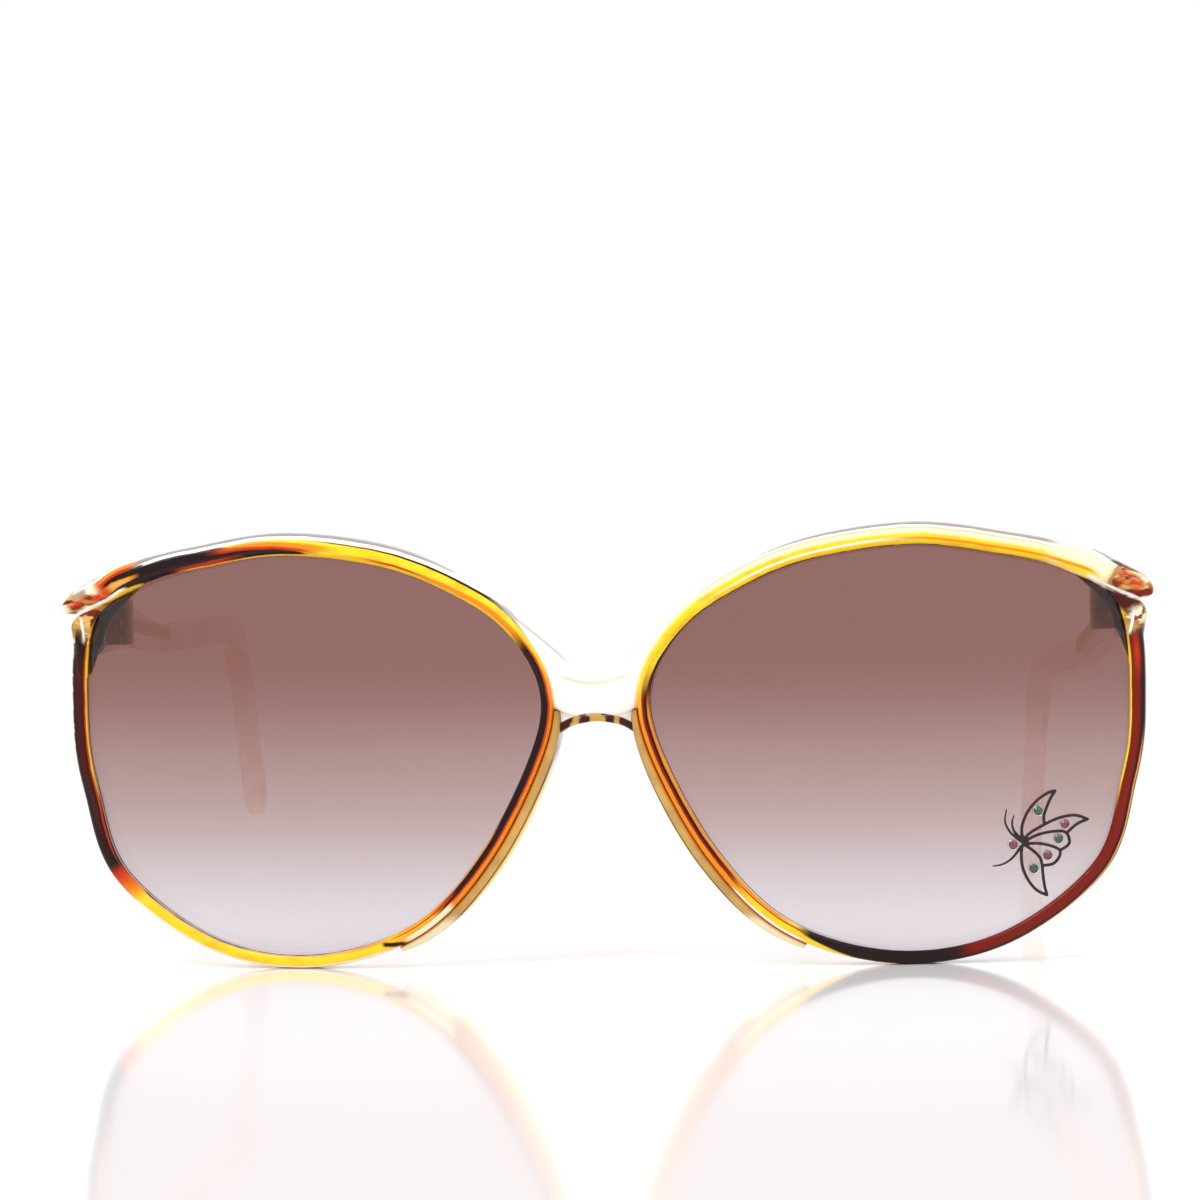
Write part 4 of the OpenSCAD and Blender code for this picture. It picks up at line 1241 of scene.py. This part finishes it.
def see_through(tree, shader, shade):
    """Lets light for shadows through in the colour shade, as clear plastic does."""
    ray = tree.value("ShaderNodeLightPath", None, "Is Shadow Ray")
    return tree.mix_shaders(ray, shader, tree.clear(Color=shade))


# Shell pattern. Angles go round the lens in degrees from the temple side over the top; the low and high edges
# of a patch are millimetres out from the lens edge, at its first and at its last angle.
# ((first, last angle), (low edges), (high edges), colour, angle softness, edge softness)
# Besides the tortoise pattern, the white, grey and tan lines along the edges are painted highlights and
# painted shade.
SHELL_PATCHES = {
    RIGHT: [
        # brow of the wearer's-right rim
        ((44, 68), (-0.6, -0.4), (3.2, 2.3), "brown", 2, 0.08),
        ((64, 90), (-0.4, 0.3), (2.3, 0.5), "brown", 2, 0.08),
        ((66, 92), (1.35, 0.5), (1.9, 1.1), "red", 4, 0.12),
        ((70, 96), (1.6, 0.75), (2.1, 1.5), "amber", 5, 0.18),
        ((53, 69), (0.05, 0.2), (0.5, 0.7), "red", 4, 0.1),
        ((55, 150), (-0.05, -0.05), (0.17, 0.2), "yellow", 4, 0.04),
        ((104, 148), (0.42, 0.4), (0.8, 0.72), "amber", 8, 0.08),
        ((110, 124), (0.48, 0.48), (0.72, 0.7), "red", 5, 0.06),
        ((126, 160), (0.3, 0.5), (0.85, 1.3), "amber", 6, 0.15),
        ((92, 150), (1.95, 1.8), (2.1, 2.1), "brown", 6, 0.06),
        ((114, 152), (1.9, 1.75), (2.15, 2.1), "brown", 6, 0.06),
        # white band on the brow's upper edge: painted highlight of the light from above; grey line beyond it:
        # painted shade at the edge
        ((40, 160), (2.2, 2.1), (2.62, 2.55), "white", 3, 0.07),
        ((36, 160), (2.62, 2.55), (3.2, 3.2), "grey", 5, 0.06),
        # recess
        ((24, 37), (-0.6, -0.6), (5.0, 5.0), "crystal", 2, 0.1),
        ((27, 33), (-0.3, -0.3), (0.4, 0.4), "brown", 2, 0.1),
        # nose side of the wearer's-right rim
        ((162, 246), (0.9, 0.7), (3.0, 3.0), "amber", 6, 0.3),
        ((152, 232), (-0.1, -0.1), (1.1, 0.95), "brown", 4, 0.08),
        ((154, 228), (1.05, 0.9), (1.35, 1.15), "red", 5, 0.1),
        ((160, 226), (1.3, 1.1), (1.5, 1.35), "amber", 5, 0.1),
        ((203, 246), (0.02, 0.05), (0.2, 0.25), "amber", 4, 0.05),
        ((228, 243), (1.0, 1.0), (3.0, 3.0), "cream", 1.5, 0.1),
        ((226, 248), (0.3, 0.35), (0.62, 0.5), "red", 3, 0.08),
        ((243.5, 250), (1.4, 0.3), (2.0, 0.9), "brown", 1, 0.12),
        # bottom and temple side of the wearer's-right rim
        ((249, 275), (-0.1, -0.1), (0.5, 0.2), "amber", 6, 0.2),
        ((249, 325), (-0.2, -0.2), (0.06, 0.1), "brown", 4, 0.05),
        ((249, 322), (0.08, 0.12), (0.2, 0.24), "peach", 4, 0.05),
        # thin white line near the bottom rim's outer edge: painted highlight
        ((250, 322), (1.45, 1.55), (1.62, 1.75), "white", 5, 0.06),
        ((323, 337), (-0.5, -0.5), (3.0, 3.0), "amber", 2.5, 0.1),
        ((326, 345), (-0.5, -0.5), (3.0, 3.0), "red", 2.5, 0.1),
        ((330, 388.5), (-0.5, -0.5), (3.5, 3.2), "brown", 2, 0.1),
        ((341, 381), (0.55, 0.4), (1.25, 1.5), "maroon", 4, 0.25),
        ((352, 389), (1.85, 1.85), (2.6, 3.0), "crystal", 8, 0.12),
        ((334, 388), (0.1, 0.05), (0.3, 0.32), "red", 4, 0.06),
        ((350, 388), (0.0, -0.1), (0.12, 0.15), "yellow", 6, 0.04),
        ((386.5, 390.5), (-0.4, 0.6), (3.5, 3.5), "crystal", 1.5, 0.1),
        # white streak where the recess starts: painted highlight
        ((386, 389), (0.5, 1.5), (0.9, 2.0), "white", 1, 0.1),
    ],
    LEFT: [
        # brow of the wearer's-left rim
        ((36, 170), (1.6, 1.6), (2.5, 2.5), "cream", 3, 0.3),
        ((42, 90), (0.7, 0.75), (1.1, 1.0), "amber", 5, 0.1),
        # white band on the brow's face: painted highlight
        ((88, 135), (0.75, 0.7), (1.0, 0.9), "white", 10, 0.1),
        ((50, 165), (-0.4, -0.2), (0.12, 0.16), "brown", 5, 0.05),
        ((145, 172), (-0.4, -0.3), (0.1, 0.5), "brown", 4, 0.08),
        # tan line at the brow's upper crease: painted shade; white band beyond it: painted highlight; grey
        # line at the edge: painted shade
        ((40, 150), (2.2, 2.2), (2.32, 2.3), "tan", 4, 0.1),
        ((40, 158), (2.35, 2.35), (2.65, 2.6), "white", 4, 0.06),
        ((40, 160), (2.66, 2.6), (3.3, 3.3), "grey", 5, 0.05),
        # recess and cap of the wearer's-left endpiece
        ((26, 38), (-0.5, -0.5), (5.0, 5.0), "maroon", 1.5, 0.1),
        ((26.5, 29), (0.3, -0.4), (1.2, 0.4), "yellow", 1, 0.1),
        ((33, 35), (1.2, 1.2), (2.0, 2.0), "tan", 0.8, 0.3),
        # nose side of the wearer's-left rim
        ((168, 224), (0.6, 0.6), (3.0, 3.0), "amber", 6, 0.3),
        ((163, 222), (0.1, 0.1), (1.0, 0.85), "mahogany", 4, 0.12),
        ((165, 214), (0.35, 0.35), (0.65, 0.6), "brown", 4, 0.08),
        ((168, 240), (0.02, 0.05), (0.3, 0.28), "amber", 4, 0.06),
        ((222, 245), (1.3, 1.3), (3.0, 3.0), "white", 1.5, 0.1),
        ((222, 246), (0.32, 0.3), (0.55, 0.5), "red", 3, 0.08),
        # bottom and temple side of the wearer's-left rim
        ((244, 266), (-0.3, -0.3), (0.7, 2.1), "brown", 3, 0.12),
        ((262, 292), (-0.5, -0.5), (3.0, 3.0), "brown", 3, 0.12),
        ((260, 272), (1.65, 1.7), (2.0, 2.0), "amber", 3, 0.08),
        ((287, 388), (-0.5, -0.5), (3.5, 3.5), "brown", 2.5, 0.12),
        ((288, 352), (-0.1, 0.0), (1.45, 1.4), "mahogany", 4, 0.2),
        ((350, 385), (0.0, -0.1), (1.3, 1.5), "mahogany", 4, 0.3),
        ((376, 383), (0.8, 0.8), (1.4, 1.4), "red", 4, 0.4),
        ((304, 358), (1.72, 1.72), (1.9, 1.9), "amber", 4, 0.05),
        ((346, 386), (0.0, -0.15), (0.22, 0.25), "yellow", 5, 0.06),
        ((385.5, 388.5), (-0.4, 0.2), (3.5, 3.5), "crystal", 1.2, 0.1),
        # white streak where the recess starts: painted highlight
        ((385, 388.5), (0.2, 1.3), (0.6, 1.8), "white", 1, 0.1),
    ],
}
# The same for the endpieces: millimetres along from the end, and up from the middle line
TIP_PATCHES = {
    RIGHT: [
        ((-1, 7.0), (-1.75, -1.95), (3, 3), "crystal", 0.8, 0.15),
        ((1.0, 6.2), (-1.1, -1.0), (0.0, 0.1), "ruby", 0.6, 0.3),
        ((5.2, 6.0), (-0.2, -0.3), (1.2, 1.2), "cream", 0.4, 0.3),
        ((2.2, 4.4), (0.4, 0.5), (1.1, 1.2), "grey", 0.5, 0.3),
        ((5.9, 11.6), (-1.5, -1.3), (1.6, 0.9), "red", 1.0, 0.2),
        ((6.6, 12), (0.75, 1.0), (1.1, 1.5), "amber", 0.5, 0.12),
        ((7.0, 13), (-1.6, -1.7), (0.35, 0.7), "brown", 0.4, 0.12),
        ((7.2, 11.4), (-1.2, -0.8), (-0.1, -0.35), "amber", 1.0, 0.12),
        ((7.8, 10.4), (-0.95, -0.8), (-0.3, -0.4), "tan", 0.8, 0.15),
        # grey line on the endpiece's upper edge: painted shade; white lines inside its upper and lower edges:
        # painted highlights
        ((-1, 13), (1.45, 1.85), (3, 3), "grey", 1, 0.08),
        ((4, 13), (1.2, 1.5), (1.45, 1.85), "white", 1, 0.08),
        ((0.2, 9.5), (-1.62, -1.85), (-1.22, -1.4), "white", 0.8, 0.08),
        ((3.5, 12), (-1.75, -2.0), (-1.62, -1.8), "yellow", 0.8, 0.06),
    ],
    LEFT: [
        ((5.4, 14), (-3, -3), (3, 3), "cream", 1.5, 0.2),
        ((7.0, 14), (-1.9, -1.8), (-0.7, -0.3), "yellow", 2.0, 0.5),
        ((8.0, 15), (-1.1, -1.0), (-0.7, -0.6), "amber", 1.5, 0.12),
        ((-1, 5.5), (-1.7, -1.9), (3, 3), "crystal", 0.3, 0.15),
        ((1.6, 4.9), (-0.6, -0.5), (1.0, 1.1), "ruby", 0.5, 0.25),
        ((5.2, 5.6), (-1.4, -1.4), (1.5, 1.5), "gold", 0.2, 0.2),
        ((5.2, 7.0), (1.45, 1.5), (1.9, 1.8), "brown", 0.2, 0.1),
        # white lines inside the endpiece's lower and upper edges: painted highlights; grey line on its upper
        # edge: painted shade
        ((0.2, 8.5), (-1.62, -1.85), (-1.25, -1.4), "white", 0.8, 0.08),
        ((6.5, 16), (1.2, 1.45), (1.5, 1.75), "white", 1, 0.08),
        ((6.8, 16), (1.5, 1.75), (3, 3), "grey", 1, 0.08),
    ],
}


def patch_mask(tree, along, out, patch):
    """1 inside a patch of the shell pattern, with soft edges; degrees along start again after a full turn."""
    (first, last), low, high, _, soft_turn, soft = patch
    half = (last - first) / 2
    turn = tree.math("WRAP", along - (first + last) / 2, 180, -180)
    share = tree.math("ADD", turn / (2 * half), 0.5, clamp=True)
    lower = out - (low[0] + share * (low[1] - low[0]))
    upper = high[0] + share * (high[1] - high[0]) - out
    inside = lower.above(-soft, soft) * upper.above(-soft, soft)
    return inside * (1 - abs(turn).above(half - soft_turn, half + soft_turn))


def bridge_colour(tree, outline, colours, colour, out):
    """Near-clear bridge with a tan line on its top edge and grey where it turns away, both painted shade; tan
    arch with brown patches under it.
    """
    x, _, z = tree.place()
    gap, high = outline.lens.gap, outline.front.bridge_h
    near = 1 - abs(x).above(0.5 * gap, 0.5 * gap + 2.5)
    beside = out.above(1.65, 2.15) * (1 - abs(x).above(gap / 2 + 2, gap / 2 + 7)) * z.above(
        outline.bridge_z - 2.5 * high, outline.bridge_z - high)
    cloud = tree.noise(260, 3, 7.0)
    body = tree.mix(cloud.above(0.5, 0.9), colours.white, colours.cream)
    top = outline.bridge_z + 0.5 * high + (x * x) * 0.055
    # The tan line on the top edge and the grey at edges turned away from the eye are painted shade, where the
    # clear bridge's edges refract dark.
    edge = (z - top).band(-0.75, -0.3, 0.2) * (1 - abs(x).above(3.5, 5.5))
    body = tree.mix(edge * 0.6, body, colours.tan)
    body = tree.mix(tree.facing(0.5).above(0.72, 0.9) * abs(x).above(2.5, 5.0) * 0.8, body, colours.grey)
    colour = tree.mix(beside, colour, body)
    under = outline.bridge_z - 0.5 * high
    arch = near * out.above(1.75, 1.95) * (1 - (z + x * x * 0.06).above(under + 0.45, under + 0.7))
    ragged = abs(x) + (tree.noise(400, 3, 3.0) - 0.5) * 2.5
    patches = ragged.band(1.0, 2.3, 0.2) + ragged.band(3.2, 4.8, 0.2)
    tan = tree.mix(patches, colours.tan, colours.maroon)
    return tree.mix(arch, colour, tan)


def streaked(tree, colours, *names, scale=300, seed=0.0):
    """Colours in fine streaks, as light breaks up in thick clear plastic."""
    colour = getattr(colours, names[0])
    for k, name in enumerate(names[1:]):
        streak = tree.noise(scale * (1 + 0.4 * k), 3, seed + 3 * k, (0.55, 1, 1.7))
        colour = tree.mix(streak.above(0.5, 0.58), colour, getattr(colours, name))
    return colour


# How far the drifting and the fine noise shift the shell pattern: degrees round the lens, millimetres out
DRIFT_TURN, FINE_TURN = 7, 2
DRIFT_OUT, FINE_OUT = 0.2, 0.16


def shell_material(scene, outline, side):
    """Tortoise plastic of one half: soft patches round the lens and on the endpiece, clear at the bridge,
    with painted highlights and painted shade along the edges.
    """
    tree = new_tree("shell_" + SIDES[side])
    colours = values_of(scene.sunglasses_colours)
    x, _, z = tree.place()
    edge_out, depth = tree.attribute("out"), tree.attribute("depth")
    drift = tree.noise(110, 2, 1.0) - 0.5
    fine = tree.noise(500, 3, 4.0) - 0.5
    turn = tree.math("ARCTAN2", z - outline.lens_z, abs(x) - outline.lens_x)
    turn = turn * (180 / math.pi) + drift * DRIFT_TURN + fine * FINE_TURN
    out = edge_out + drift * DRIFT_OUT + fine * FINE_OUT
    streak = tree.noise(260, 4, 6.0, (1, 1, 2.5)).above(0.42, 0.72)
    palette = {
        "crystal": streaked(tree, colours, "gold", "tan", "cream", "mahogany", scale=260, seed=9.0),
        "ruby": streaked(tree, colours, "red", "mahogany", "gold", scale=700, seed=2.0),
    }
    colour = tree.mix(streak * 0.4, colours.yellow, colours.amber)

    def paint(colour, across, up, patches, reach=1.0):
        for patch in patches[side]:
            mask = patch_mask(tree, across, up, patch) * reach
            colour = tree.mix(mask, colour, palette.get(patch[3]) or getattr(colours, patch[3]))
        return colour

    colour = paint(colour, turn, out, SHELL_PATCHES)
    aside = tree.attribute("aside")
    along = tree.attribute("along") + fine * 1.2 + drift * 0.8
    colour = paint(colour, along, aside + fine * 0.3, TIP_PATCHES, reach=aside.above(-2.1, -1.95))
    colour = bridge_colour(tree, outline, colours, colour, edge_out)
    # Behind the lens edge: brown, partly the dark plastic's own colour and partly painted shade on the
    # shadowed inner wall.
    colour = tree.mix(1 - edge_out.above(-0.65, -0.5), colour, colours.brown)
    block = depth.above(4.9, 5.5) * abs(x).above(outline.end_x - 14, outline.end_x - 12)
    colour = tree.mix(block, colour, colours.cream)
    return tree.surface(tree.principled(
        Base_Color=colour, Roughness=0.1, IOR=1.49, Specular_IOR_Level=0.15, Transmission_Weight=0.1,
        Alpha=1 - block * 0.75))


def lens_material(scene, outline):
    """Brown tint that fades downwards."""
    tree = new_tree("lens_gradient")
    colours = values_of(scene.sunglasses_colours)
    _, _, z = tree.place()
    low, high = outline.lens_z - outline.lens.height / 2, outline.lens_z + outline.lens.height / 2
    share = (z - low) / (high - low)
    colour = tree.mix(share.above(0.0, 0.43), colours.lens_low, colours.lens_mid)
    colour = tree.mix(share.above(0.34, 0.74), colour, colours.lens_top)
    shader = tree.principled(Base_Color=colour, Roughness=0.0, IOR=1.5, Transmission_Weight=1.0)
    return tree.surface(see_through(tree, shader, (0.79, 0.71, 0.70)))


def pad_material(scene, outline):
    """Tan pads with an amber foot and maroon where they meet the rim, painted shade there; a brown outline
    and pale lower ends.
    """
    tree = new_tree("pad")
    colours = values_of(scene.sunglasses_colours)
    out = tree.attribute("out")
    _, _, z = tree.place()
    cloud = tree.noise(300, 3, 2.0)
    colour = tree.mix(cloud.above(0.35, 0.7), colours.tan, tuple(0.75 * c for c in colours.tan))
    wide = outline.front.rim_nose
    # Amber foot and maroon on the rim: painted shade where the pad meets the rim.
    colour = tree.mix(1 - (out + cloud * 0.5).above(wide + 0.25, wide + 0.75), colour, colours.amber)
    colour = tree.mix(1 - out.above(wide - 0.1, wide + 0.2), colour, colours.maroon)
    edge = wide + 0.86 * outline.front.pad_t
    colour = tree.mix(out.band(edge, edge + 0.12, 0.06), colour, colours.maroon)
    colour = tree.mix(out.above(edge + 0.15, edge + 0.25), colour, colours.yellow)
    low = 1 - z.above(0.2 * outline.lens_z, 0.26 * outline.lens_z)
    tip = tree.mix(out.above(wide + 0.2, wide + 0.6), colours.amber, colours.cream)
    colour = tree.mix(low * 0.9, colour, tip)
    return tree.surface(tree.principled(
        Base_Color=colour, Roughness=0.12, IOR=1.49, Specular_IOR_Level=0.35, Transmission_Weight=0.2))


def arm_material(scene, side):
    """Near-clear peach plastic, thicker to the eye at its edges."""
    tree = new_tree("arm_" + SIDES[side])
    colours = values_of(scene.sunglasses_colours)
    cloud = tree.noise(120, 3, 5.0)
    colour = tree.mix(cloud.above(0.4, 0.7), colours.arm, colours.peach)
    shader = tree.principled(
        Base_Color=colour, Roughness=0.06, IOR=1.49, Transmission_Weight=0.6,
        Alpha=0.26 + tree.facing(0.35) * 0.34)
    return tree.surface(see_through(tree, shader, (0.93, 0.9, 0.88)))


def metal_material(name, colour, roughness, scratch, metallic=1.0):
    """Metal with a fine grain; scratch is how much the grain adds to the roughness."""
    tree = new_tree(name)
    grain = tree.noise(2600, 5, 3.0, (1, 6, 6))
    shade = tree.mix(grain.above(0.3, 0.75), colour, tuple(0.8 * c for c in colour))
    bump = tree.node("ShaderNodeBump", Strength=0.12, Distance=0.02 * MM, Height=grain)
    return tree.surface(tree.principled(
        Base_Color=shade, Metallic=metallic, Roughness=roughness + grain * scratch, Normal=bump.outputs[0]))


def stone_material(scene, name):
    """Coated glass, darker in places as its facets break up the light."""
    tree = new_tree(name)
    colour = getattr(values_of(scene.sunglasses_colours), name)
    glow = tree.noise(1500, 2, 5.0)
    shade = tree.mix(glow.above(0.3, 0.8), tuple(0.5 * c for c in colour), colour)
    return tree.surface(tree.principled(
        Base_Color=shade, Roughness=0.05, IOR=1.6, Transmission_Weight=0.15, Coat_Weight=0.5))


class SUNGLASSES_OT_hinges(bpy.types.Operator):
    """Give the hinges and their screws brass and steel finishes"""

    bl_idname = "sunglasses.hinges"
    bl_label = "Hinge Metal"

    def execute(self, context):
        brass = metal_material("brass", values_of(context.scene.sunglasses_colours).brass, 0.4, 0.15, 0.25)
        steel = metal_material("steel", srgb(205, 205, 208), 0.2, 0.15)
        for name, node in frame["nodes"].items():
            if name.startswith("hinge_"):
                node.data.materials.clear()
                node.data.materials.append(steel if "screw" in name else brass)
        return {"FINISHED"}


# Stage

# (name, place, power in watts); the lamps are square, with LAMP_SIZE the side in metres
LAMPS = (("key", (-0.5, -0.7, 0.9), 6), ("fill", (0.7, -0.5, 0.7), 3))
LAMP_SIZE = 0.6
FILM_WIDTH = 36


class SUNGLASSES_OT_stage(bpy.types.Operator):
    """Set up the floor, the white background, the lamps and the camera"""

    bl_idname = "sunglasses.stage"
    bl_label = "Stage"

    def execute(self, context):
        scene = context.scene
        stage = scene.sunglasses_stage
        scene.view_settings.view_transform = "Standard"
        self.make_floor(stage)
        self.make_world(scene)
        self.make_lamps(scene)
        camera = bpy.data.cameras.new("camera")
        camera.lens = stage.camera_lens
        camera.sensor_width = FILM_WIDTH
        camera.clip_start, camera.clip_end = 0.05, 100
        view = bpy.data.objects.new("camera", camera)
        scene.collection.objects.link(view)
        turn = Matrix.Rotation(stage.camera_pan, 4, "Z") @ Matrix.Rotation(
            math.radians(90) - stage.camera_tilt, 4, "X") @ Matrix.Rotation(stage.camera_roll, 4, "Z")
        view.matrix_world = Matrix.Translation(Vector(stage.camera_place)) @ turn
        scene.camera = view
        return {"FINISHED"}

    def make_floor(self, stage):
        half = stage.floor_size / 2 / MM
        floor = new_piece("floor", (np.array([
            (-half, -half, 0), (half, -half, 0), (half, half, 0), (-half, half, 0)]), [(0, 1, 2, 3)]))
        tree = new_tree("white_floor")
        x, y, _ = tree.place()
        away = tree.math("SQRT", x * x + y * y).above(stage.fade_from / MM, stage.fade_to / MM)
        shine = tree.principled(Base_Color=(0.95, 0.95, 0.955), Roughness=0.08, IOR=1.8)
        floor.data.materials.append(tree.surface(tree.mix_shaders(away, shine, tree.clear())))
        floor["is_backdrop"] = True

    def make_world(self, scene):
        tree = Tree(bpy.data.worlds.new("studio"))
        background = tree.node("ShaderNodeBackground", Color=(1, 1, 1), Strength=1.0)
        scene.world = tree.surface(background.outputs[0])

    def make_lamps(self, scene):
        for name, place, power in LAMPS:
            light = bpy.data.lights.new(name, "AREA")
            light.size, light.energy = LAMP_SIZE, power
            lamp = bpy.data.objects.new(name, light)
            scene.collection.objects.link(lamp)
            lamp.location = place
            lamp.rotation_mode = "QUATERNION"
            lamp.rotation_quaternion = (-Vector(place)).to_track_quat("-Z", "Y")


class SUNGLASSES_PT_panel(bpy.types.Panel):
    """Lists the pieces that the sunglasses are built from"""

    bl_idname = "SUNGLASSES_PT_panel"
    bl_label = "Rhinestone Sunglasses"
    bl_space_type = "VIEW_3D"
    bl_region_type = "UI"
    bl_category = "Sunglasses"

    def draw(self, context):
        layout = self.layout
        for operator in OPERATORS:
            layout.operator(operator.bl_idname)
        layout.prop(context.scene.sunglasses_front, "rim_depth")
        layout.prop(context.scene.sunglasses_colours, "yellow")


SETTINGS = {
    "sunglasses_front": FrontSettings, "sunglasses_lens": LensSettings, "sunglasses_temple": TempleSettings,
    "sunglasses_butterfly": ButterflySettings, "sunglasses_colours": ColourSettings,
    "sunglasses_stage": StageSettings,
}
OPERATORS = (
    SUNGLASSES_OT_stage, SUNGLASSES_OT_front, SUNGLASSES_OT_lenses, SUNGLASSES_OT_pads, SUNGLASSES_OT_temples,
    SUNGLASSES_OT_butterfly, SUNGLASSES_OT_stones, SUNGLASSES_OT_hinges,
)


def register():
    for group in (*SETTINGS.values(), *OPERATORS, SUNGLASSES_PT_panel):
        bpy.utils.register_class(group)
    for name, group in SETTINGS.items():
        setattr(bpy.types.Scene, name, PointerProperty(type=group))


def unregister():
    for name in SETTINGS:
        delattr(bpy.types.Scene, name)
    for group in reversed((*SETTINGS.values(), *OPERATORS, SUNGLASSES_PT_panel)):
        bpy.utils.unregister_class(group)


def main():
    register()
    for operator in OPERATORS:
        group, name = operator.bl_idname.split(".")
        getattr(getattr(bpy.ops, group), name)()
    corners = {"cad": CAD_BOX, "visual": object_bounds()}
    {key: [list(corner) for corner in box] for key, box in corners.items()}


if __name__ == "__main__":
    main()
